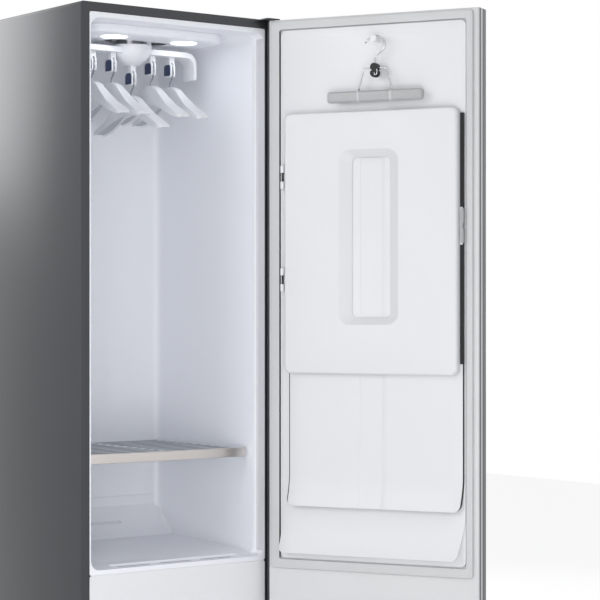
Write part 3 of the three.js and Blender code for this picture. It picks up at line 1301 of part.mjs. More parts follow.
function pressSheet(values, face) {
  const { near, far, low, high, cornerLow, taper, flareLength, flare } = values;
  const flareFrom = low + flareLength;
  const middle = (near + far) / 2;
  const side = new THREE.Shape();
  side.moveTo(face, high);
  side.lineTo(face, flareFrom);
  side.quadraticCurveTo(face, (low + flareFrom) / 2, face + flare, low);
  side.lineTo(face + flare + sheet.thickness, low);
  side.quadraticCurveTo(face + sheet.thickness, (low + flareFrom) / 2, face + sheet.thickness, flareFrom);
  side.lineTo(face + sheet.thickness, high);
  const slab = prism("x", side, acrossDoor(far), acrossDoor(near), 5);
  const front = new THREE.Shape();
  front.moveTo(acrossDoor(near), high);
  front.lineTo(acrossDoor(near), flareFrom);
  front.lineTo(acrossDoor(near + taper), low + cornerLow);
  front.quadraticCurveTo(acrossDoor(near + taper), low, acrossDoor(near + taper + cornerLow), low);
  front.lineTo(acrossDoor(middle), low);
  front.lineTo(acrossDoor(far - taper - cornerLow), low);
  front.quadraticCurveTo(acrossDoor(far - taper), low, acrossDoor(far - taper), low + cornerLow);
  front.lineTo(acrossDoor(far), flareFrom);
  front.lineTo(acrossDoor(far), high);
  return slab.intersect(prism("y", front, face - OVERCUT, face + flare + 2 * OVERCUT, 3));
}

const panelSizes = {
  near: 66, farInset: 39, rise: 487, drop: 221, corner: 16, rim: 8, thickness: 24, space: 0.6, shell: 3,
};
const panel = onDoor(panelSizes);
const windowShares = { near: 0.3184, far: 0.6592, low: 0.188, high: 0.8532 };
const bevel = { across: 30, tall: 19, corner: 30, floorCorner: 14 };
const panelWide = panel.far - panel.near;
const panelTall = panel.high - panel.low;
const panelWindow = {
  near: panel.near + panelWide * windowShares.near,
  far: panel.near + panelWide * windowShares.far,
  low: panel.low + panelTall * windowShares.low,
  high: panel.low + panelTall * windowShares.high,
};
const windowFloor = {
  near: panelWindow.near + bevel.across,
  far: panelWindow.far - bevel.across,
  low: panelWindow.low + bevel.tall,
  high: panelWindow.high - bevel.tall,
};
const panelHinge = {
  across: 54, radius: 5.5, pinRadius: 2, running: 0.3, knuckle: 22, cap: 19, space: 0.4,
  middleShares: [0.7577, 0.3612], armThickness: 5, notch: 4,
};
const hingeMiddles = panelHinge.middleShares.map((share) => panel.low + panelTall * share);

// The press panel's latch, a spring slide on the liner beside the panel's free edge
const latch = {
  nearInset: 38.2, farInset: 34.5, lowShare: 0.4934, height: 88, out: 22, notchHeight: 12, notchDepth: 2, space: 4,
};
latch.near = CABINET_WIDTH - latch.nearInset;
latch.far = CABINET_WIDTH - latch.farInset;
latch.low = panel.low + panelTall * latch.lowShare;
latch.high = latch.low + latch.height;

// The rear board has a notch round each hinge bracket of the press panel, and one round its latch
function rearPressSheet() {
  const notchFar = panelHinge.across + panelHinge.radius + panelHinge.notch;
  const half = panelHinge.knuckle / 2 + panelHinge.space + panelHinge.cap + panelHinge.notch;
  const notches = hingeMiddles.map((middle) => doorBlock(
    rearSheet.near - OVERCUT, notchFar, 0, doorLiner.raise + 2 * OVERCUT, middle - half, middle + half,
  ));
  const latchNotch = doorBlock(
    latch.near - SHEET, rearSheet.far + OVERCUT, 0, doorLiner.raise + 2 * OVERCUT,
    latch.low - latch.space, latch.high + latch.space,
  );
  return cut(pressSheet(rearSheet, rearSheetFace), [...notches, latchNotch]);
}
addPiece(door, "rear_press_sheet", rearPressSheet(), finishes.palePanel);

function frontPressSheet() {
  const { near, far, bandHalf, bandRaise, low, high, flareLength, cornerLow } = frontSheet;
  const flareFrom = low + flareLength;
  const bandNear = (near + far) / 2 - bandHalf;
  const bandFar = bandNear + 2 * bandHalf;
  const outer = frontSheetFace + sheet.thickness;
  const inset = bandRaise * 2;
  const band = loftY(
    doorRect(bandNear, bandFar, flareFrom, high - cornerLow, inset),
    doorRect(bandNear + inset, bandFar - inset, flareFrom + inset, high - cornerLow - inset, inset),
    outer - sheet.thickness / 2, outer + bandRaise,
  );
  return pressSheet(frontSheet, frontSheetFace).add(band);
}
addPiece(door, "front_press_sheet", frontPressSheet(), finishes.palePanel);

// Press panel: the hinged front board with soft rims and a long window, on two knuckles

const panelBack = frontSheetFace + sheet.thickness + frontSheet.bandRaise + panel.space;
const panelFront = panelBack + panel.thickness;
const panelHingeX = acrossDoor(panelHinge.across);
const panelHingeY = panelBack + panelHinge.radius;

function pressPanel() {
  const body = softPrism(
    "y", doorRect(panel.near, panel.far, panel.low, panel.high, panel.corner), panelBack, panelFront, panel.rim, 3, 3,
  );
  const pocket = prism("y", doorRect(
    panel.near + panel.rim + panel.shell, panel.far - panel.rim - panel.shell,
    panel.low + panel.rim + panel.shell, panel.high - panel.rim - panel.shell, panel.corner - panel.rim,
  ), panelBack - OVERCUT, panelFront - panel.shell, 1);
  const wall = panel.shell;
  const collar = loftY(
    doorRect(windowFloor.near - wall, windowFloor.far + wall, windowFloor.low - wall,
      windowFloor.high + wall, bevel.floorCorner),
    doorRect(panelWindow.near - wall, panelWindow.far + wall, panelWindow.low - wall, panelWindow.high + wall,
      bevel.corner),
    panelBack, panelFront - panel.shell / 2,
  );
  const opening = loftY(
    doorRect(windowFloor.near, windowFloor.far, windowFloor.low, windowFloor.high,
      bevel.floorCorner),
    doorRect(panelWindow.near, panelWindow.far, panelWindow.low, panelWindow.high, bevel.corner),
    panelBack, panelFront + SEAT_GAP,
  );
  const through = prism("y", doorRect(
    windowFloor.near, windowFloor.far, windowFloor.low, windowFloor.high,
    bevel.floorCorner,
  ), panelBack - OVERCUT, panelFront + OVERCUT, 2);
  const knuckles = hingeMiddles.flatMap((middle) => {
    const half = panelHinge.knuckle / 2;
    const arm = block(
      acrossDoor(panel.near + panel.rim * 1.5), panelHingeX, panelHingeY - panelHinge.armThickness / 2,
      panelHingeY + panelHinge.armThickness / 2, middle - half, middle + half,
    );
    return [rod("z", panelHingeX, panelHingeY, panelHinge.radius, middle - half, middle + half, 12), arm];
  });
  const bores = hingeMiddles.map((middle) => rod(
    "z", panelHingeX, panelHingeY, panelHinge.pinRadius + panelHinge.running,
    middle - panelHinge.knuckle, middle + panelHinge.knuckle, 8,
  ));
  return cut(join([body.subtract(pocket), collar, ...knuckles]), [opening, through, ...bores]);
}
addPiece(door, "press_panel", pressPanel(), finishes.palePanel);

// Panel hinge brackets: two ears on the liner above and below each knuckle, with the pin

function panelHingeBracket(middle) {
  const half = panelHinge.knuckle / 2 + panelHinge.space;
  const seat = doorFace + doorLiner.raise + SEAT_GAP;
  const top = middle + half + panelHinge.cap;
  const bottom = middle - half - panelHinge.cap;
  const near = panelHingeX + panelHinge.radius;
  const ears = [[middle + half, top], [bottom, middle - half]].map(([low, high]) => {
    const eye = rod("z", panelHingeX, panelHingeY, panelHinge.radius, low, high, 12);
    return eye.add(block(panelHingeX - panelHinge.armThickness / 3, near, seat, panelHingeY, low, high));
  });
  const web = block(panelHingeX + panelHinge.armThickness / 3, near, seat, seat + sheet.thickness, bottom, top);
  const pin = rod(
    "z", panelHingeX, panelHingeY, panelHinge.pinRadius, middle - half - panelHinge.cap / 2,
    middle + half + panelHinge.cap / 2, 8,
  );
  return join([...ears, web, pin]);
}
addPiece(door, "panel_hinge_upper", panelHingeBracket(hingeMiddles[0]), finishes.whitePlastic);
addPiece(door, "panel_hinge_lower", panelHingeBracket(hingeMiddles[1]), finishes.whitePlastic);

// Panel latch: a spring-loaded slide in a housing on the liner, which hooks the panel's free edge

function panelLatch() {
  const seat = doorLiner.raise + SEAT_GAP;
  const middle = (latch.low + latch.high) / 2;
  const body = doorBlock(latch.near, latch.far, seat, latch.out, latch.low, latch.high);
  const notch = doorBlock(
    latch.far - latch.notchDepth, latch.far + OVERCUT, seat - OVERCUT, latch.out + OVERCUT,
    middle - latch.notchHeight / 2, middle + latch.notchHeight / 2,
  );
  return body.subtract(notch);
}
addPiece(door, "panel_latch", panelLatch(), finishes.greyPlastic);

// Trouser hanger: a wire hook on the peg, with two clamp bars held shut by a sliding lock

const trouser = {
  off: 32, wireRadius: 1.9, lockDrop: 100, lockHeight: 37, lockHalf: 11, lockDepth: 9, crossDrop: 113,
  crossHalf: 32, crossShare: 0.85, legSpread: 45, jawHalf: 132.5, jawDrop: 170, jawHeight: 29, jawDepth: 8,
  jawGap: 1, jawBevel: 4, ringRadius: 4.5, lockRunning: 0.6,
};
trouser.lockTop = CEILING_Z - trouser.lockDrop;
trouser.lockLow = trouser.lockTop - trouser.lockHeight;
trouser.crossZ = CEILING_Z - trouser.crossDrop;
trouser.jawHigh = CEILING_Z - trouser.jawDrop;
trouser.jawLow = trouser.jawHigh - trouser.jawHeight;
trouser.jawNear = pegAcross - trouser.jawHalf;
trouser.jawFar = pegAcross + trouser.jawHalf;
const trouserY = doorFace + trouser.off;
const hookOffsets = [
  [-27, -10], [-21, -2], [-12, 5], [2, 8.6], [16, 4], [25, -6], [26, -22], [13, -36], [1, -45], [0, -66],
];

function trouserHookWire() {
  const x0 = pegX;
  const points = hookOffsets.map(([across, up]) => new THREE.Vector3(x0 - across, trouserY, pegZ + up));
  const hook = wire(new THREE.CatmullRomCurve3(points), trouser.wireRadius, 26);
  const stem = rod("z", x0, trouserY, trouser.wireRadius, trouser.crossZ, pegZ + hookOffsets[9][1] + 1, 6);
  const cross = rod(
    "x", trouserY, trouser.crossZ, trouser.wireRadius, x0 - trouser.crossHalf, x0 + trouser.crossHalf, 6,
  );
  const legs = [-1, 1].map((side) => wire(new THREE.CatmullRomCurve3([
    new THREE.Vector3(x0 + side * trouser.crossHalf * trouser.crossShare, trouserY, trouser.crossZ),
    new THREE.Vector3(x0 + side * trouser.crossHalf, trouserY, trouser.crossZ - trouser.ringRadius),
    new THREE.Vector3(
      x0 + side * (trouser.crossHalf + trouser.legSpread) / 2, trouserY,
      (trouser.crossZ + trouser.jawHigh) / 2,
    ),
    new THREE.Vector3(x0 + side * trouser.legSpread, trouserY, trouser.jawHigh + trouser.ringRadius * 2),
    new THREE.Vector3(x0 + side * trouser.legSpread, trouserY, trouser.jawHigh + SEAT_GAP),
  ]), trouser.wireRadius, 8));
  return join([hook, stem, cross, ...legs]);
}
addPiece(door, "trouser_hook_wire", trouserHookWire(), finishes.chrome);

// A clamp bar with a six-sided section, on one side of the clamp's middle plane
function clampBar(side) {
  const { jawGap, jawDepth, jawBevel, jawHigh, jawLow, jawNear, jawFar } = trouser;
  const inner = trouserY + side * jawGap / 2;
  const outer = trouserY + side * (jawGap / 2 + jawDepth);
  const points = [
    [inner, jawHigh], [inner + side * jawBevel, jawHigh], [outer, (jawHigh * 2 + jawLow) / 3],
    [outer, (jawHigh + jawLow * 2) / 3], [inner + side * jawBevel, jawLow], [inner, jawLow],
  ];
  return prism("x", polygon(side > 0 ? points : points.reverse()), acrossDoor(jawFar), acrossDoor(jawNear));
}
addPiece(door, "trouser_rear_jaw", clampBar(-1), finishes.greyPlastic);
addPiece(door, "trouser_front_jaw", clampBar(1), finishes.greyPlastic);

// Clamp lock: a two-lobed slider on the wire's stem
function trouserLock() {
  const x0 = pegX;
  const { lockTop, lockLow, lockHalf, lockDepth, lockRunning, wireRadius, crossZ } = trouser;
  const upper = prism("y", circle(x0, lockTop - lockHalf, lockHalf), trouserY - lockDepth, trouserY + lockDepth, 7);
  const lower = prism("y", circle(x0, lockLow + lockHalf, lockHalf), trouserY - lockDepth, trouserY + lockDepth, 7);
  const grow = wireRadius + lockRunning;
  const stemHole = rod("z", x0, trouserY, grow, lockLow - OVERCUT, lockTop + OVERCUT, 8);
  const travel = lockTop - crossZ;
  const crossHole = block(
    x0 - trouser.crossHalf, x0 + trouser.crossHalf, trouserY - grow, trouserY + grow,
    crossZ - travel - grow, crossZ + grow,
  );
  return cut(upper.add(lower), [stemHole, crossHole]);
}
addPiece(door, "trouser_lock", trouserLock(), finishes.blackPlastic);

door.position.set(hingeX, hingeY, 0);
door.rotation.z = THREE.MathUtils.degToRad(DOOR_OPEN_DEG);
group.add(door);
group.position.y = -BODY_DEPTH / 2;

export default group;
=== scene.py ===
import json
from math import cos, radians, sin

import bmesh
import bpy
from mathutils import Matrix, Vector

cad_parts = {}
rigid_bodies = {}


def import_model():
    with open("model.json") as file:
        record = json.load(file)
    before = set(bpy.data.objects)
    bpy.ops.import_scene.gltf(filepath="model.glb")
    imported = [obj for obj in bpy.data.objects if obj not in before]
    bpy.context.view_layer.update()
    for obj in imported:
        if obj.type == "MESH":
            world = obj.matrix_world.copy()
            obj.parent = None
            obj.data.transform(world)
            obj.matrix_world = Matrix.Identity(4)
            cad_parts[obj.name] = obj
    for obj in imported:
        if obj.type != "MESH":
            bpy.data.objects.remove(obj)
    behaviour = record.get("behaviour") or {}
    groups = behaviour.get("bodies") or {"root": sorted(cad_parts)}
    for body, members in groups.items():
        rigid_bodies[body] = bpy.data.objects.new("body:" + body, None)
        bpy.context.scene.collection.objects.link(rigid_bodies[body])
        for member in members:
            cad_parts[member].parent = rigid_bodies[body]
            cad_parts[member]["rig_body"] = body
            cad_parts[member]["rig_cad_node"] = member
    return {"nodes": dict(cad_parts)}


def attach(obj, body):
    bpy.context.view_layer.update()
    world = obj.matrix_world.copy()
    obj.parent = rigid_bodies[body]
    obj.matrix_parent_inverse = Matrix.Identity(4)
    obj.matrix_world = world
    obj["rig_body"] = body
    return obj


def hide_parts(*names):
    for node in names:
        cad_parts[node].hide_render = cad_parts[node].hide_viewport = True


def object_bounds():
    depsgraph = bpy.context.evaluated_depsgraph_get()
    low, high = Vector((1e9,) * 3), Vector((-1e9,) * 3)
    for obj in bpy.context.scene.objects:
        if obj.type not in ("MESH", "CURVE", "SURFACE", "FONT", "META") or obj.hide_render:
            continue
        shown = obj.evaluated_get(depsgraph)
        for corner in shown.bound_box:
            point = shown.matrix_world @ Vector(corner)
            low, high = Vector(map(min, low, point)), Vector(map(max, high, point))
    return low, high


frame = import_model()
nodes = frame["nodes"]
cad_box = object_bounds()

# Camera: a level view from the left of the open door, far enough away for the narrow angle
# of the photograph. Its colours are shown as they are, with no film look.
camera_place = (-2.889, -4.583, 1.178)
camera_turn = 37.17
bpy.ops.object.camera_add(
    location=camera_place, rotation=(radians(90), 0, radians(-camera_turn)))
camera = bpy.context.object
camera.name = "camera"
camera.data.lens = 120.6
camera.data.sensor_width = 36
camera.data.shift_y = 0.015
camera.data.clip_end = 60
bpy.context.scene.camera = camera
bpy.context.scene.view_settings.view_transform = "Standard"

# Studio: a pale floor under the feet and soft area lamps round the cabinet. The floor and the
# world are white to the camera and in reflections, and keep the object's shadow.
floor_height = cad_box[0][2]
floor_grey = 0.8
floor_glow = 0.86


def split_by_ray(tree, kinds, others, chosen, output):
    """Shows one shader to some kinds of ray and the other shader to all others."""
    rays = tree.nodes.new("ShaderNodeLightPath")
    answer = rays.outputs[kinds[0]]
    for kind in kinds[1:]:
        either = tree.nodes.new("ShaderNodeMath")
        either.operation = "MAXIMUM"
        tree.links.new(answer, either.inputs[0])
        tree.links.new(rays.outputs[kind], either.inputs[1])
        answer = either.outputs[0]
    shown = tree.nodes.new("ShaderNodeMixShader")
    tree.links.new(answer, shown.inputs[0])
    tree.links.new(others.outputs[0], shown.inputs[1])
    tree.links.new(chosen.outputs[0], shown.inputs[2])
    tree.links.new(shown.outputs[0], output.inputs[0])


bpy.ops.mesh.primitive_plane_add(size=14, location=(0, 0, floor_height))
floor = bpy.context.object
floor.name = "studio_floor"
paper = bpy.data.materials.new("pale_floor")
paper.use_nodes = True
tree = paper.node_tree
shade = tree.nodes["Principled BSDF"]
shade.inputs["Base Color"].default_value = (floor_grey, floor_grey, floor_grey, 1)
shade.inputs["Roughness"].default_value = 0.9
glow = tree.nodes.new("ShaderNodeEmission")
glow.inputs["Color"].default_value = (1, 1, 1, 1)
both = tree.nodes.new("ShaderNodeMixShader")
both.inputs[0].default_value = floor_glow
tree.links.new(shade.outputs[0], both.inputs[1])
tree.links.new(glow.outputs[0], both.inputs[2])
split_by_ray(tree, ("Is Camera Ray", "Is Glossy Ray"), shade, both,
             tree.nodes["Material Output"])
floor.data.materials.append(paper)

world = bpy.data.worlds.new("studio")
bpy.context.scene.world = world
world.use_nodes = True
tree = world.node_tree
soft = tree.nodes["Background"]
soft.inputs["Color"].default_value = (0.97, 0.98, 1, 1)
soft.inputs["Strength"].default_value = 0.62
white = tree.nodes.new("ShaderNodeBackground")
white.inputs["Color"].default_value = (1, 1, 1, 1)
white.inputs["Strength"].default_value = 1
split_by_ray(tree, ("Is Camera Ray", "Is Glossy Ray", "Is Transmission Ray"), soft, white,
             tree.nodes["World Output"])


def studio_lamp(name, place, aim, size, watts, colour=(1, 1, 1)):
    """Adds a soft rectangular lamp that shines from its place towards its aim."""
    bpy.ops.object.light_add(type="AREA", location=place)
    lamp = bpy.context.object
    lamp.name = name
    lamp.data.shape = "RECTANGLE"
    lamp.data.size, lamp.data.size_y = size
    lamp.data.energy = watts
    lamp.data.color = colour
    lamp.rotation_euler = (Vector(aim) - Vector(place)).to_track_quat("-Z", "Y").to_euler()


studio_lamp("key_lamp", (-3.75, -0.6, 2.4), (0.4, -0.55, 1.1), (2.0, 2.0), 38)
studio_lamp("front_lamp", (-2.1, -3.3, 1.5), (0, 0, 0.9), (2.2, 2.2), 12)
studio_lamp("low_lamp", (-1.6, -2.9, 0.5), (0, 0.1, 0.5), (1.6, 1.0), 24)
studio_lamp("back_lamp", (-1.4, 3.2, 2.8), (0, 0, 1.0), (2.4, 2.4), 60)
studio_lamp("side_lamp", (3.4, 1.6, 2.0), (0.3, 0, 1.0), (2.0, 2.4), 40)

# Outer case: one sheet of pre-painted steel folded over both sides and the top, in a dark
# metallic grey. Its front edges are turned in, and it is crimped to the base pan.
same_place = 0.00002
flat_fold = radians(1)


def let_go():
    """Leaves edit mode with nothing selected."""
    if bpy.context.object and bpy.context.object.mode == "EDIT":
        bpy.ops.object.mode_set(mode="OBJECT")
    bpy.ops.object.select_all(action="DESELECT")


def finish(name, colour, roughness, metal=0.0, grain=900.0, bump=0.02, mottle=0.04, coat=0.0,
           blotch=6.0, stretch=(1, 1, 1)):
    """A finish with fine surface grain, slow unevenness of its colour, and a varying gloss."""
    gloss_swing = 0.05
    made = bpy.data.materials.new(name)
    made.use_nodes = True
    tree = made.node_tree
    shader = tree.nodes["Principled BSDF"]
    shader.inputs["Metallic"].default_value = metal
    shader.inputs["Coat Weight"].default_value = coat
    shader.inputs["Coat Roughness"].default_value = 0.1
    place = tree.nodes.new("ShaderNodeTexCoord")
    turn = tree.nodes.new("ShaderNodeMapping")
    turn.inputs["Scale"].default_value = stretch
    tree.links.new(place.outputs["Object"], turn.inputs["Vector"])
    slow = tree.nodes.new("ShaderNodeTexNoise")
    slow.inputs["Scale"].default_value = blotch
    slow.inputs["Detail"].default_value = 3
    tree.links.new(turn.outputs[0], slow.inputs["Vector"])
    tint = tree.nodes.new("ShaderNodeMix")
    tint.data_type = "RGBA"
    tint.inputs["A"].default_value = tuple(c * (1 - mottle) for c in colour) + (1,)
    tint.inputs["B"].default_value = tuple(min(1, c * (1 + mottle)) for c in colour) + (1,)
    tree.links.new(slow.outputs["Fac"], tint.inputs["Factor"])
    tree.links.new(tint.outputs["Result"], shader.inputs["Base Color"])
    fine = tree.nodes.new("ShaderNodeTexNoise")
    fine.inputs["Scale"].default_value = grain
    fine.inputs["Detail"].default_value = 2
    tree.links.new(turn.outputs[0], fine.inputs["Vector"])
    gloss = tree.nodes.new("ShaderNodeMapRange")
    gloss.inputs["To Min"].default_value = max(0.02, roughness - gloss_swing)
    gloss.inputs["To Max"].default_value = min(1, roughness + gloss_swing)
    tree.links.new(fine.outputs["Fac"], gloss.inputs["Value"])
    tree.links.new(gloss.outputs[0], shader.inputs["Roughness"])
    relief = tree.nodes.new("ShaderNodeBump")
    relief.inputs["Strength"].default_value = bump
    relief.inputs["Distance"].default_value = 0.001
    tree.links.new(fine.outputs["Fac"], relief.inputs["Height"])
    tree.links.new(relief.outputs[0], shader.inputs["Normal"])
    return made


def break_edges(piece, width, segments, angle):
    """Bevels all edges of a piece that turn by more than the angle, in degrees."""
    edge = piece.modifiers.new("edges", "BEVEL")
    edge.width = width
    edge.segments = segments
    edge.limit_method = "ANGLE"
    edge.angle_limit = radians(angle)
    bpy.ops.object.modifier_apply(modifier="edges")


def rework(node, material, rim=0.0006, steps=2, smooth=38):
    """A copy of a CAD node with its triangles welded, its edges broken and its curves smooth."""
    let_go()
    source = nodes[node]
    piece = source.copy()
    piece.data = source.data.copy()
    piece.parent = None
    piece.name = node + "_finished"
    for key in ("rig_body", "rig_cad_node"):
        if key in piece:
            del piece[key]
    bpy.context.scene.collection.objects.link(piece)
    piece.select_set(True)
    bpy.context.view_layer.objects.active = piece
    bpy.ops.object.mode_set(mode="EDIT")
    bpy.ops.mesh.select_all(action="SELECT")
    bpy.ops.mesh.remove_doubles(threshold=same_place)
    bpy.ops.mesh.dissolve_limited(angle_limit=flat_fold)
    bpy.ops.object.mode_set(mode="OBJECT")
    if rim:
        break_edges(piece, rim, steps, smooth)
    bpy.ops.object.shade_smooth_by_angle(angle=radians(smooth))
    piece.data.materials.clear()
    piece.data.materials.append(material)
    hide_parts(node)
    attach(piece, source["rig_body"])
    return piece


case_paint = finish("case_paint", (0.062, 0.064, 0.069), 0.36, metal=0.55, grain=1400, bump=0.015)
rework("outer_case", case_paint, rim=0.0005)

# Base pan and back panel: zinc-coated steel sheet, pressed and left bare, with the spangle of
# the zinc. The pan's rim tucks inside the case; the panel is screwed over the back.
zinc = finish("zinc_sheet", (0.42, 0.435, 0.45), 0.42, metal=0.85, grain=260, bump=0.03,
              mottle=0.14, blotch=60)
for sheet_part in ("base_pan", "back_panel"):
    rework(sheet_part, zinc, rim=0.0003, smooth=14)

# Feet and rear glide: moulded in black nylon. The two front feet turn on screw studs to level
# the cabinet, and the glide is clipped to the pan.
nylon_and_painted_shade = finish("black_nylon_and_painted_shade", (0.014, 0.014, 0.016), 0.45, grain=700, bump=0.05)
for stand in ("front_foot_left", "front_foot_right", "rear_glide"):
    rework(stand, nylon_and_painted_shade, rim=0.0008)

# Inner liner: one vacuum-formed sheet of faintly blue white polystyrene with round corners and
# a stepped seat for the door, left grey at both sides. Insulating foam is poured behind it and
# holds it in the case.
seat_inner, seat_rear = 0.2632, -0.2292
seat_low, seat_high = 0.52, 1.91


def pick(kind, rule):
    """Selects the vertices, edges or faces for which the rule holds, in edit mode."""
    bpy.ops.mesh.select_mode(type=kind)
    bpy.ops.mesh.select_all(action="DESELECT")
    shape = bmesh.from_edit_mesh(bpy.context.object.data)
    parts = {"VERT": shape.verts, "EDGE": shape.edges, "FACE": shape.faces}[kind]
    for part in parts:
        if rule(part):
            part.select_set(True)
    bmesh.update_edit_mesh(bpy.context.object.data)


def paint(piece, material, rule):
    """Gives a second finish to the faces of a piece for which the rule holds."""
    piece.data.materials.append(material)
    bpy.ops.object.mode_set(mode="EDIT")
    pick("FACE", rule)
    piece.active_material_index = len(piece.data.materials) - 1
    bpy.ops.object.material_slot_assign()
    bpy.ops.object.mode_set(mode="OBJECT")


def on_seat(face):
    """Whether a face is on the upright sides of the door's seat."""
    return all(abs(v.co.x) > seat_inner and v.co.y < seat_rear
               and seat_low < v.co.z < seat_high for v in face.verts)


def dress(node, material):
    """Gives a CAD node its finish and leaves its shape."""
    mesh = nodes[node].data
    mesh.materials.clear()
    mesh.materials.append(material)


liner_white = finish("liner_white", (0.86, 0.875, 0.92), 0.34, grain=1500, bump=0.012,
                     mottle=0.012, blotch=2.2)
liner = rework("inner_liner", liner_white, rim=0.0012, steps=3, smooth=42)
seat_grey = finish("seat_grey", (0.60, 0.61, 0.635), 0.4, grain=1500, bump=0.012)
paint(liner, seat_grey, on_seat)
foam = finish("cream_foam", (0.74, 0.68, 0.52), 0.95, grain=350, bump=0.4, mottle=0.12,
              blotch=40)
dress("foam_jacket", foam)

# Rear duct cover: a moulded slope of the liner's plastic over the steam duct at the foot of
# the back wall. It is held by clips at its toe.
rework("rear_duct_cover", liner_white, rim=0.0015, steps=3)

# Ceiling housing: a deep moulded cover of white plastic, softly rounded, screwed under the
# liner's ceiling. Its round well holds the drive that shakes the hangers.
rework("ceiling_housing", liner_white, rim=0.0012, steps=3, smooth=42)

# Lamps: two round frosted lenses that snap into the housing, over cool white light-emitting
# diodes. A small lamp under each lens casts its light.
lens_x, lens_y, lens_height, lens_width = 0.109, -0.115, 1.88, 0.07
lens = finish("frosted_lens", (0.93, 0.95, 1), 0.3, grain=900, bump=0.02, mottle=0.01)
shader = lens.node_tree.nodes["Principled BSDF"]
shader.inputs["Emission Color"].default_value = (0.88, 0.93, 1, 1)
shader.inputs["Emission Strength"].default_value = 2.2
for side in ("lamp_left", "lamp_right"):
    rework(side, lens, rim=0.0008, steps=3, smooth=50)
for x in (-lens_x, lens_x):
    studio_lamp("lens_light", (x, lens_y, lens_height), (x * 1.6, -0.03, 1.0),
                (lens_width, lens_width), watts=0.06, colour=(0.93, 0.96, 1))

# Shaking drive: a flat motor with its crank disc, pressed in zinc-coated steel, and the two
# chromed rods on which the hanger bar slides.
chrome = finish("chrome_wire", (0.66, 0.67, 0.69), 0.09, metal=1.0, grain=500, bump=0.01,
                mottle=0.05)
rework("guide_frame", chrome)
rework("hanger_motor", zinc)
rework("crank_disc", zinc)

# Hanger bar: one satin white moulding with a bowl that hides the drive, an arm to each side and
# five holder heads. A thin dark blue pad with round corners lies on both cheeks of each head.
heads = ((-0.124, 1.806), (-0.062, 1.806), (0, 1.775), (0.062, 1.806), (0.124, 1.806))
cheek_out, pad_y, pad_rise = 0.0085, -0.0235, 0.0185
pad_side, pad_thickness = 0.03, 0.0011


def settle(piece, material, body, smooth=35, node=None, place=None):
    """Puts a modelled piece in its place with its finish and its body."""
    let_go()
    piece.select_set(True)
    bpy.context.view_layer.objects.active = piece
    if place:
        piece.matrix_world = place
    bpy.ops.object.transform_apply(location=True, rotation=True, scale=True)
    bpy.ops.object.shade_smooth_by_angle(angle=radians(smooth))
    piece.data.materials.clear()
    piece.data.materials.append(material)
    if node:
        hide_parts(node)
    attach(piece, body)


def face_outwards():
    """Turns all faces of the mesh in edit mode outwards."""
    bpy.ops.mesh.select_all(action="SELECT")
    bpy.ops.mesh.normals_make_consistent(inside=False)


def thicken(step):
    """Extrudes the whole sheet in edit mode by a step and closes it."""
    bpy.ops.mesh.select_all(action="SELECT")
    bpy.ops.mesh.extrude_region_move(TRANSFORM_OT_translate={"value": step})
    face_outwards()


satin_white = finish("satin_white", (0.79, 0.80, 0.825), 0.32, grain=1300, bump=0.012,
                     mottle=0.012, coat=0.15)
rework("hanger_bar", satin_white, rim=0.0008, steps=3, smooth=40)
# A dark blue finish for the thin pads on the heads' cheeks.
dark_blue_pad = finish("dark_blue_pad", (0.035, 0.05, 0.11), 0.5, grain=800, bump=0.05, mottle=0.06)
for head_x, head_low in heads:
    for cheek in (-1, 1):
        let_go()
        bpy.ops.mesh.primitive_plane_add(
            size=pad_side, location=(head_x + cheek * cheek_out, pad_y, head_low + pad_rise),
            rotation=(0, cheek * radians(90), 0))
        pad = bpy.context.object
        pad.name = "holder_pad"
        bpy.ops.object.transform_apply(location=False, rotation=True, scale=False)
        bpy.ops.object.mode_set(mode="EDIT")
        pick("VERT", lambda v: v.co.z > 0)
        bpy.ops.mesh.bevel(offset=0.0085, segments=2, affect="VERTICES")
        pick("VERT", lambda v: v.co.z < 0)
        bpy.ops.mesh.bevel(offset=0.003, segments=3, affect="VERTICES")
        thicken((-cheek * pad_thickness, 0, 0))
        pick("EDGE", lambda e: all(v.co.x * cheek > -same_place for v in e.verts))
        bpy.ops.mesh.bevel(offset=0.0004, segments=2, affect="EDGES")
        settle(pad, dark_blue_pad, "shaking_bar")

# Garment hangers: broad-shouldered white mouldings, open underneath so that their walls stay
# thin. Each hangs front to back on a bent hook of chromed wire, moulded into its neck. The faces
# of their hollows, which look down, are painted a darker blue grey as the shade under them.
hanger_wall, hanger_hollow, hook_growth = 0.0022, 0.006, 0.0004
underside_slope = -0.3
hook_chrome = finish("hook_chrome", (0.34, 0.35, 0.40), 0.14, metal=1.0, grain=500, bump=0.01,
                     mottle=0.08)
underside_painted_shade = finish("hanger_underside_painted_shade", (0.42, 0.44, 0.49), 0.5, grain=1100, bump=0.03)
for number in "12345":
    rework("hanger_hook_" + number, hook_chrome, rim=0, smooth=70)
    bpy.ops.object.mode_set(mode="EDIT")
    bpy.ops.mesh.select_all(action="SELECT")
    bpy.ops.transform.shrink_fatten(value=hook_growth)
    bpy.ops.object.mode_set(mode="OBJECT")
    hanger = rework("garment_hanger_" + number, satin_white, rim=0, smooth=50)
    hanger.data.materials.append(underside_painted_shade)
    bpy.ops.object.mode_set(mode="EDIT")
    # Painted shade: the downward faces, once sunk into a hollow, get the darker underside finish.
    pick("FACE", lambda f: f.normal.z < underside_slope)
    bpy.ops.mesh.inset(thickness=hanger_wall, use_boundary=True, use_even_offset=True)
    bpy.ops.transform.translate(value=(0, 0, hanger_hollow))
    hanger.active_material_index = 1
    bpy.ops.object.material_slot_assign()
    bpy.ops.object.mode_set(mode="OBJECT")
    break_edges(hanger, width=0.0014, segments=3, angle=42)
    bpy.ops.object.shade_smooth_by_angle(angle=radians(42))
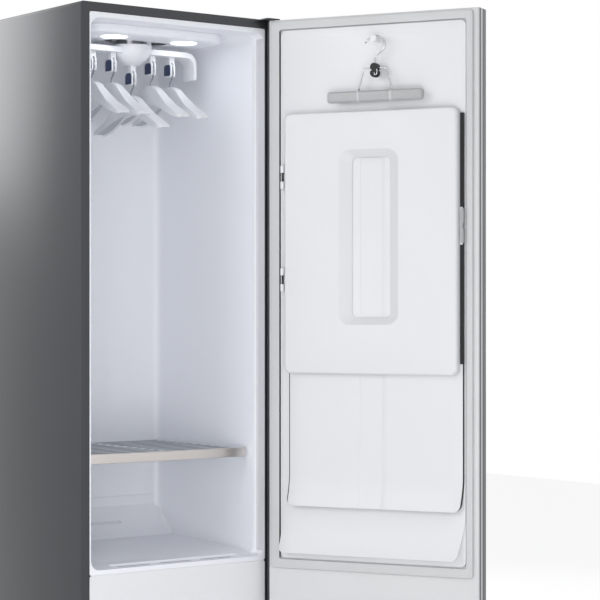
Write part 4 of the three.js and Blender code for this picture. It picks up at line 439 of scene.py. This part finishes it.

# Shelf: a white tray with slots from front to back, and a champagne-coloured aluminium trim on
# its front edge. It slides on two moulded rails. The walls of its slots are painted dark grey as
# the shade inside them.
tray_slots, upright_slope = (0.24, -0.198, 0.208), 0.4
tray_white = finish("tray_white", (0.70, 0.725, 0.765), 0.42, grain=1500, bump=0.02,
                    mottle=0.012)
painted_slot_shade = finish("painted_slot_shade", (0.20, 0.215, 0.25), 0.5, grain=1200, bump=0.02)
champagne = finish("champagne_trim", (0.62, 0.585, 0.565), 0.34, metal=0.9, grain=700,
                   bump=0.03, mottle=0.03, stretch=(0.02, 1, 1))


def in_slots(face, reach, front, back):
    """Whether a face is a slot's upright wall, within a reach to both sides and two depths."""
    middle = face.calc_center_median()
    upright = abs(face.normal.z) < upright_slope
    return upright and abs(middle.x) < reach and front < middle.y < back


tray = rework("shelf_tray", tray_white, rim=0.001, steps=3)
# Painted shade: the slots' upright walls get a dark grey finish in place of the shade in them.
paint(tray, painted_slot_shade, lambda f: in_slots(f, *tray_slots))
rework("shelf_front_trim", champagne, rim=0.001, steps=3)
for rail in ("shelf_rail_left", "shelf_rail_right"):
    rework(rail, liner_white, rim=0.0008)

# Lower front: a white moulded fascia round the two pull-out water tanks. Their bodies are
# half-clear plastic with moulded lids, and they stand in a grey cradle.
grey = finish("grey_plastic", (0.36, 0.365, 0.375), 0.42, grain=1100, bump=0.02, mottle=0.02)
tank_plastic = finish("tank_plastic", (0.50, 0.60, 0.70), 0.16, grain=600, bump=0.02)
shader = tank_plastic.node_tree.nodes["Principled BSDF"]
shader.inputs["Transmission Weight"].default_value = 0.35
rework("lower_fascia", satin_white, smooth=14)
rework("tank_cradle", grey)
for tank, lid, lid_finish, lid_slot in (
        ("fresh_water_tank", "fresh_tank_lid", satin_white, "white_moulding"),
        ("drain_tank", "drain_tank_lid", grey, "grey_plastic")):
    rework(tank, tank_plastic, rim=0.0012, steps=3)
    rework(lid, lid_finish, rim=0.001, steps=3)

# Lint filter: a moulded frame that lifts out of the floor for cleaning. It has three intake
# slots on top, whose walls are painted dark grey as the shade inside them.
filter_slots = (0.1925, -0.2475, -0.2285)
lint_filter = rework("lint_filter", liner_white, rim=0.0008, steps=3)
# Painted shade: the intake slots' upright walls get a dark grey finish in place of their shade.
paint(lint_filter, painted_slot_shade, lambda f: in_slots(f, *filter_slots))

# Steam and drying unit: a folded zinc deck with the fan, the steam generator and the control
# box, over the compressor and the finned coils of the heat pump.
black_steel = finish("black_steel", (0.018, 0.018, 0.02), 0.4, metal=0.3, grain=800, bump=0.04)
fins = finish("bare_aluminium", (0.6, 0.61, 0.62), 0.34, metal=0.9, grain=500, bump=0.03,
              mottle=0.05)
for part, part_finish, part_slot in (
        ("unit_deck", zinc, "galvanised_sheet"), ("steam_generator", zinc, "galvanised_sheet"),
        ("fan_scroll", nylon_and_painted_shade, "black_plastic"), ("fan_impeller", grey, "grey_plastic"),
        ("compressor", black_steel, "black_steel"), ("heat_exchanger", fins, "fin_aluminium"),
        ("control_box", grey, "grey_plastic")):
    rework(part, part_finish, rim=0.0005)

# Hinge brackets: two pressed steel plates in the case's colour, screwed under and over the
# cabinet's front corner. Each carries one of the door's pins.
for bracket in ("lower_hinge_bracket", "upper_hinge_bracket"):
    rework(bracket, case_paint)

# Door: a folded steel shell in the case's colour behind a dark glass front. Its inner border is
# pale grey, and extruded aluminium trims run down its free edge with dark joints between them.
hinge_x, hinge_y, door_angle, hinge_inset = 0.2835, -0.284, 118.2, 0.014
door_turn = Matrix.Rotation(radians(door_angle), 4, "Z")
door_place = Matrix.Translation((hinge_x, hinge_y, 0)) @ door_turn
edge_joints = (0.009, -0.001, -0.014, -0.022, -0.036)
border_from, trim_to, trim_from, grey_to, grey_from = edge_joints
facing = 0.3


def across(reach):
    """Metres along the shut door from its hinge line, for millimetres from its hinged edge."""
    return hinge_inset - reach / 1000


def move_mesh(piece, place):
    """Moves a piece's mesh and leaves its object at the origin, with only that piece selected."""
    let_go()
    piece.select_set(True)
    bpy.context.view_layer.objects.active = piece
    piece.matrix_world = place
    bpy.ops.object.transform_apply(location=True, rotation=True, scale=True)


def on_free_edge(face):
    """Whether a face is on the outside of the door's free edge."""
    return face.calc_center_median().x < free_edge and face.normal.x < -facing


def on_border(face):
    """Whether a face is on the door's inner border, or on its fold over the free edge."""
    middle = face.calc_center_median()
    return middle.y > border_from and middle.x < border_near and (
        face.normal.y > facing or on_free_edge(face))


def depth(face):
    """How far a face lies towards the cabinet from the hinge line, with the door shut."""
    return face.calc_center_median().y


border_near, free_edge = across(8), across(594)
door_border = finish("door_border", (0.64, 0.65, 0.655), 0.5, grain=900, bump=0.02,
                     mottle=0.015)
edge_trim = finish("edge_trim", (0.46, 0.47, 0.48), 0.32, metal=0.5, grain=600, bump=0.02,
                   mottle=0.03, stretch=(1, 1, 0.02))
edge_grey = finish("edge_grey", (0.13, 0.135, 0.14), 0.4, metal=0.4, grain=900, bump=0.02)
shell = rework("door_shell", case_paint, rim=0.0006)
move_mesh(shell, door_place.inverted())
bpy.ops.object.mode_set(mode="EDIT")
for joint in edge_joints:
    bpy.ops.mesh.select_all(action="SELECT")
    bpy.ops.mesh.bisect(plane_co=(0, joint, 0), plane_no=(0, 1, 0))
bpy.ops.mesh.select_all(action="SELECT")
bpy.ops.mesh.bisect(plane_co=(border_near, 0, 0), plane_no=(1, 0, 0))
bpy.ops.object.mode_set(mode="OBJECT")
paint(shell, door_border, on_border)
paint(shell, edge_trim, lambda f: on_free_edge(f) and trim_from < depth(f) < trim_to)
paint(shell, edge_grey, lambda f: on_free_edge(f) and grey_from < depth(f) < grey_to)
move_mesh(shell, door_place)
dark_glass = finish("dark_glass", (0.012, 0.013, 0.015), 0.05, grain=200, bump=0.002, coat=0.6)
rework("door_glass", dark_glass, rim=0.0004)
door_white = finish("door_white", (0.735, 0.745, 0.76), 0.36, grain=1400, bump=0.012,
                    mottle=0.012, coat=0.1)
rework("door_liner", door_white, rim=0.001, steps=3)

# Gasket: a soft grey magnetic profile pressed into a groove all round the door's inner border.
# Its thin inner lip lies close to the liner's edge, and the faces in the gap between them are
# painted black as the shade there.
lip_near, lip_far, lip_low, lip_high = across(34), across(570), 0.511, 1.923
lip_middle, lip_spread = (across(331.5), 0, 1.2175), (0.9831, 1, 0.9922)
dark_gap, dark_gap_half = across(41), 0.0008
gasket_grey = finish("gasket_grey", (0.575, 0.585, 0.59), 0.55, grain=800, bump=0.04)
gasket = rework("door_gasket", gasket_grey, rim=0.001, steps=3)
move_mesh(gasket, door_place.inverted())
bpy.ops.object.mode_set(mode="EDIT")
pick("VERT", lambda v: lip_far < v.co.x < lip_near and lip_low < v.co.z < lip_high)
bpy.ops.transform.resize(value=lip_spread, center_override=lip_middle)
bpy.ops.object.mode_set(mode="OBJECT")
# Painted shade: the gasket's faces at the gap by the liner's hinge-side edge get the black
# finish.
paint(gasket, nylon_and_painted_shade, lambda f: all(abs(v.co.x - dark_gap) < dark_gap_half for v in f.verts))
move_mesh(gasket, door_place)

# Press boards: two flexible white boards hang one over the other on the door's liner, with
# their lower ends curled outwards. The rear board has a notch round each hinge bracket of the
# panel and one round its latch.
bracket_middles, bracket_notch, bracket_notch_depth = (1525, 1255), 34.5, 13.5
latch_middle, latch_notch, latch_notch_depth = 1389, 48.1, 6.4
rear_top, rear_bend, rear_low, rear_level, rear_thickness = 1662, 640, 538, 22.3, 1.8
notch_slope = 0.2


def start_piece(name):
    """Begins an empty piece in edit mode."""
    let_go()
    bpy.ops.mesh.primitive_plane_add(size=1)
    bpy.context.object.name = name
    bpy.ops.object.mode_set(mode="EDIT")
    bpy.ops.mesh.select_mode(type="VERT")
    bpy.ops.mesh.select_all(action="SELECT")
    bpy.ops.mesh.delete(type="VERT")
    return bpy.context.object


def press_board(name, columns, rows, thickness, material, node=None):
    """One flexible board: a line of points across, extruded down row by row, then thickened.

    A column is (reach, level) and a row (height, out, near edge in, far edge in), in mm."""
    board = start_piece(name)
    bpy.ops.mesh.primitive_circle_add(vertices=3, radius=0.001)
    bpy.ops.mesh.merge(type="CENTER")
    bpy.ops.transform.translate(value=(across(columns[0][0]), columns[0][1] / 1000,
                                       rows[0][0] / 1000))
    for (reach, level), (next_reach, next_level) in zip(columns, columns[1:]):
        bpy.ops.mesh.extrude_vertices_move(TRANSFORM_OT_translate={
            "value": ((reach - next_reach) / 1000, (next_level - level) / 1000, 0)})
    bpy.ops.mesh.select_all(action="SELECT")
    for row, lower in zip(rows, rows[1:]):
        bpy.ops.mesh.extrude_edges_move(TRANSFORM_OT_translate={
            "value": (0, (lower[1] - row[1]) / 1000, (lower[0] - row[0]) / 1000)})
    near, far = across(columns[0][0]), across(columns[-1][0])
    for height, _, near_in, far_in in rows:
        for side, shift in ((near, -near_in), (far, far_in)):
            if shift:
                pick("VERT", lambda v: abs(v.co.z - height / 1000) < same_place
                     and abs(v.co.x - side) < same_place)
                bpy.ops.transform.translate(value=(shift / 1000, 0, 0))
    thicken((0, -thickness / 1000, 0))
    bpy.ops.object.mode_set(mode="OBJECT")
    break_edges(board, width=0.0004, segments=2, angle=50)
    settle(board, material, "door", smooth=32, node=node, place=door_place)


def notch(middle, half, near_in, far_in):
    """Rows of a notch in a board's near or far edge, above and below its middle."""
    return [(middle + half, 0, 0, 0), (middle + half - notch_slope, 0, near_in, far_in),
            (middle - half + notch_slope, 0, near_in, far_in), (middle - half, 0, 0, 0)]


def curl(start, low, out, near, far, corner):
    """Rows of a lower end that curls outwards and has two round corners."""
    long_steps, corner_steps = 9, 6
    rows = []
    for step in range(1, long_steps + 1):
        height = start - (start - low - corner) * step / long_steps
        share = (start - height) / (start - low)
        rows.append((height, out * share ** 2, near * share, far * share))
    for step in range(1, corner_steps + 1):
        turn = radians(90 / corner_steps * step)
        height = low + corner * (1 - sin(turn))
        share = (start - height) / (start - low)
        side = corner * (1 - cos(turn))
        rows.append((height, out * share ** 2, near * share + side, far * share + side))
    return rows


pale = finish("pale_panel", (0.70, 0.71, 0.725), 0.42, grain=1500, bump=0.02, mottle=0.012)
rear_columns = [(reach, rear_level) for reach in (50, 85, 520, 562)]
rear_rows = [(rear_top, 0, 0, 0),
             *notch(bracket_middles[0], bracket_notch, bracket_notch_depth, 0),
             *notch(latch_middle, latch_notch, 0, latch_notch_depth),
             *notch(bracket_middles[1], bracket_notch, bracket_notch_depth, 0),
             (rear_bend + 2, 0, 0, 0), (rear_bend, 0, 0, 0),
             *curl(rear_bend, rear_low, out=24, near=-3, far=18, corner=15)]
press_board("rear_board", rear_columns, rear_rows, rear_thickness, pale,
            node="rear_press_sheet")

# The front board has a shallow channel down its middle. A black sheet of painted shade backs
# it, a little wider than it, as the dark gap round its edges, and two black strips of painted
# shade lie beside the free edge of the panel, above and below the latch.
strip_near, strip_far, strip_level, strip_thickness = across(548), across(560), 0.0262, 0.0026
strip_spans = ((1.437, 1.676), (1.038, 1.341))
front_top, front_bend, front_low, front_level, front_thickness = 1672, 740, 662, 26, 1
channel_level = 24.2
gap_shade_low, gap_shade_level, gap_shade_thickness = 664, 23.1, 0.7


def upright_plate(x0, x1, z0, z1, y, corner, steps):
    """Adds an upright face with round corners, which looks along +y, to what is being edited."""
    bpy.ops.mesh.select_all(action="DESELECT")
    bpy.ops.mesh.primitive_plane_add(
        size=1, location=((x0 + x1) / 2, y, (z0 + z1) / 2), rotation=(radians(-90), 0, 0))
    bpy.ops.transform.resize(value=(abs(x1 - x0), 1, z1 - z0),
                             center_override=((x0 + x1) / 2, y, (z0 + z1) / 2))
    bpy.ops.mesh.bevel(offset=corner, segments=steps, affect="VERTICES")


front_columns = [
    (73, front_level), (110, front_level), (272, front_level), (274, front_level), (275, 25.2),
    (290, channel_level), (292, channel_level), (333, channel_level), (335, channel_level),
    (336, 24.7), (350, front_level), (352, front_level), (520, front_level), (556, front_level)]
gap_shade_columns = [(reach, gap_shade_level) for reach in (69.5, 110, 520, 559.5)]
front_rows = [(front_top, 0, 0, 0), (front_bend + 2, 0, 0, 0), (front_bend, 0, 0, 0)]
front_curl = curl(front_bend, front_low, out=14, near=-3, far=5, corner=17)
gap_shade_curl = curl(front_bend, gap_shade_low, out=13, near=-3, far=5, corner=17)
press_board("front_board", front_columns, front_rows + front_curl, front_thickness, pale,
            node="front_press_sheet")
# Painted shade: a near-black finish stands in for the shadow in the gaps round the front board.
painted_gap_shade = finish("painted_gap_shade_black", (0.03, 0.03, 0.032), 0.95, grain=1600, bump=0.3, mottle=0.1)
press_board("press_board_gap_shade", gap_shade_columns, front_rows + gap_shade_curl, gap_shade_thickness, painted_gap_shade)
# Painted shade: black strips where the gap beside the panel's free edge is in shadow.
for low, high in strip_spans:
    strip = start_piece("panel_edge_gap_shade")
    upright_plate(strip_near, strip_far, low, high, strip_level, corner=0.002, steps=2)
    thicken((0, -strip_thickness, 0))
    settle(strip, painted_gap_shade, "door", smooth=40, place=door_place)

# Press panel: one vacuum-formed white shell, open at the back, with a long window whose sides
# slope in to the front board. It turns on two white hinge brackets whose middles are painted
# black as the shade of the gap there, and a grey latch holds it shut.
panel_face, panel_back, panel_rim, panel_wall = 0.0506, 0.0270, 0.009, 0.0026
near_face = panel_face - 0.001
panel_edge = (across(66), across(549), 1.009, 1.690)
window_brim = (across(222), across(389), 1.137, 1.590)
window_foot = (across(252), across(359), 1.156, 1.571)
window_depth, window_reach, knuckle_gap_half = 0.0225, 0.006, 0.0118


def in_window(vertex):
    """Whether a vertex is on the window's brim or foot."""
    near, far, low, high = window_brim
    return (far - window_reach < vertex.co.x < near + window_reach
            and low - window_reach < vertex.co.z < high + window_reach)


def face_fold(edge, sharpness, window):
    """Whether an edge of the panel's face is a fold of the window, or else of the outline."""
    return not edge.is_boundary and edge.calc_face_angle(0) > sharpness and all(
        v.co.y > near_face and in_window(v) == window for v in edge.verts)


panel = start_piece("press_panel_shell")
upright_plate(*panel_edge, panel_face, corner=0.016, steps=6)
upright_plate(*window_brim, panel_face, corner=0.030, steps=6)
upright_plate(*window_foot, panel_face - window_depth, corner=0.014, steps=6)
bpy.ops.mesh.select_all(action="SELECT")
bpy.ops.mesh.delete(type="ONLY_FACE")
pick("EDGE", lambda e: all(v.co.y > near_face for v in e.verts))
bpy.ops.mesh.bridge_edge_loops()
pick("EDGE", lambda e: all(in_window(v) for v in e.verts))
bpy.ops.mesh.bridge_edge_loops()
pick("EDGE", lambda e: e.is_boundary and not any(in_window(v) for v in e.verts))
bpy.ops.mesh.extrude_region_move(
    TRANSFORM_OT_translate={"value": (0, panel_back - panel_face, 0)})
face_outwards()
pick("EDGE", lambda e: face_fold(e, 1, False))
bpy.ops.mesh.bevel(offset=panel_rim, segments=5, affect="EDGES")
pick("EDGE", lambda e: face_fold(e, 0.2, True))
bpy.ops.mesh.bevel(offset=0.0025, segments=3, affect="EDGES")
bpy.ops.object.mode_set(mode="OBJECT")
wall = panel.modifiers.new("wall", "SOLIDIFY")
wall.thickness = panel_wall
wall.offset = -1
wall.use_even_offset = True
bpy.ops.object.modifier_apply(modifier="wall")
settle(panel, pale, "panel", smooth=32, node="press_panel", place=door_place)
for name, middle in zip(("panel_hinge_upper", "panel_hinge_lower"), bracket_middles):
    bracket = rework(name, satin_white)
    # Painted shade: the brackets' faces round their middle get the black finish.
    paint(bracket, nylon_and_painted_shade, lambda f: all(
        abs(v.co.z - middle / 1000) < knuckle_gap_half for v in f.verts))
rework("panel_latch", grey)

# Trouser hanger: a chromed wire bent into a hook, with a cross wire and two legs down to the
# clamp. Both clamp bars are grey mouldings with round ends and a chamfered outer side, and a
# collar on the front bar takes each leg. The collars are of the bars' grey plastic, painted a
# lighter grey as highlight.
stem, clamp_level = across(324), 0.046
bar_near, bar_far, bar_low, bar_high = across(191.5), across(456.5), 1.712, 1.741
bar_clearance, bar_thickness, bar_fold = 0.0005, 0.008, 0.3
leg_offset, collar_half, collar_over = 0.045, 0.0035, 0.0008
collar_inner, collar_outer = 0.0468, 0.0556
clamp_grey = finish("clamp_grey", (0.40, 0.405, 0.41), 0.36, grain=1200, bump=0.015,
                    mottle=0.015)
wire_chrome = finish("wire_chrome", (0.42, 0.425, 0.43), 0.16, metal=1.0, grain=500, bump=0.01,
                     mottle=0.06)
collar_painted_highlight = finish("collar_painted_highlight", (0.52, 0.525, 0.53), 0.33, grain=1200, bump=0.015)


def clamp_block(name, x0, x1, y0, y1, z0, z1):
    """Begins a solid block for a piece of the clamp and leaves it in edit mode."""
    let_go()
    middle = ((x0 + x1) / 2, (y0 + y1) / 2, (z0 + z1) / 2)
    bpy.ops.mesh.primitive_cube_add(size=1, location=middle)
    block = bpy.context.object
    block.name = name
    bpy.ops.transform.resize(value=(abs(x1 - x0), abs(y1 - y0), z1 - z0))
    bpy.ops.object.transform_apply(location=True, rotation=True, scale=True)
    bpy.ops.object.mode_set(mode="EDIT")
    return block


def bevel_folds(width):
    """Rounds all sharp edges of the block in edit mode."""
    pick("EDGE", lambda e: e.calc_face_angle(0) > bar_fold)
    bpy.ops.mesh.bevel(offset=width, segments=2, affect="EDGES")


rework("trouser_hook_wire", wire_chrome, rim=0, smooth=70)
for name, node, body, side in (("clamp_bar_rear", "trouser_rear_jaw", "trouser_clamp", -1),
                               ("clamp_bar_front", "trouser_front_jaw", "front_jaw", 1)):
    inner = clamp_level + side * bar_clearance
    outer = inner + side * bar_thickness
    bar = clamp_block(name, bar_far, bar_near, inner, outer, bar_low, bar_high)
    pick("EDGE", lambda e: abs(e.verts[0].co.y - e.verts[1].co.y) > bar_thickness / 2)
    bpy.ops.mesh.bevel(offset=0.0065, segments=5, affect="EDGES")
    pick("EDGE", lambda e: all(abs(v.co.y - outer) < same_place for v in e.verts))
    bpy.ops.mesh.bevel(offset=0.0045, segments=1, affect="EDGES")
    bevel_folds(0.0007)
    settle(bar, clamp_grey, body, smooth=30, node=node, place=door_place)
for leg in (stem - leg_offset, stem + leg_offset):
    collar = clamp_block("clamp_collar", leg - collar_half, leg + collar_half, collar_inner,
                         collar_outer, bar_low - collar_over, bar_high + collar_over)
    pick("EDGE", lambda e: all(abs(v.co.y - collar_outer) < same_place for v in e.verts)
         and abs(e.verts[0].co.x - e.verts[1].co.x) > collar_half)
    bpy.ops.mesh.bevel(offset=0.0054, segments=1, affect="EDGES")
    bevel_folds(0.0005)
    # Painted highlight: the collars' lighter grey stands in for the light on their faces.
    settle(collar, collar_painted_highlight, "front_jaw", smooth=30, place=door_place)

# Sliding lock: a black nylon slide with two round lobes and a waist on the wire's stem. Pushed
# down, it grips the cross wire and holds the two bars shut.
waist_height, waist_half, waist_share = 1.7925, 0.0025, 0.74
lock_black = finish("lock_black", (0.004, 0.004, 0.005), 0.6, grain=900, bump=0.05)
lock = rework("trouser_lock", lock_black, rim=0.001, steps=3)
move_mesh(lock, door_place.inverted())
bpy.ops.object.mode_set(mode="EDIT")
pick("VERT", lambda v: abs(v.co.z - waist_height) < waist_half)
bpy.ops.transform.resize(value=(waist_share, 1, 1),
                         center_override=(stem, clamp_level, waist_height))
bpy.ops.object.mode_set(mode="OBJECT")
move_mesh(lock, door_place)

# Spring catch: a short chromed wire, bent like a hook, in the lock's front. It clicks the lock
# into place.
catch_level, catch_height = 0.0562, 1.795
catch_bends = ((9, -1), (8.5, -12), (3.5, -15.5), (1.5, -10))
let_go()
bpy.ops.curve.primitive_bezier_curve_add()
catch = bpy.context.object
catch.name = "lock_catch"
path = catch.data.splines[0]
path.bezier_points.add(len(catch_bends) - 2)
for point, (dx, dz) in zip(path.bezier_points, catch_bends):
    point.co = (stem - dx / 1000, catch_level, catch_height + dz / 1000)
    point.handle_left_type = point.handle_right_type = "AUTO"
catch.data.bevel_depth = 0.0009
catch.data.bevel_resolution = 3
catch.data.use_fill_caps = True
bpy.ops.object.convert(target="MESH")
settle(bpy.context.object, chrome, "clamp_lock", smooth=70, place=door_place)
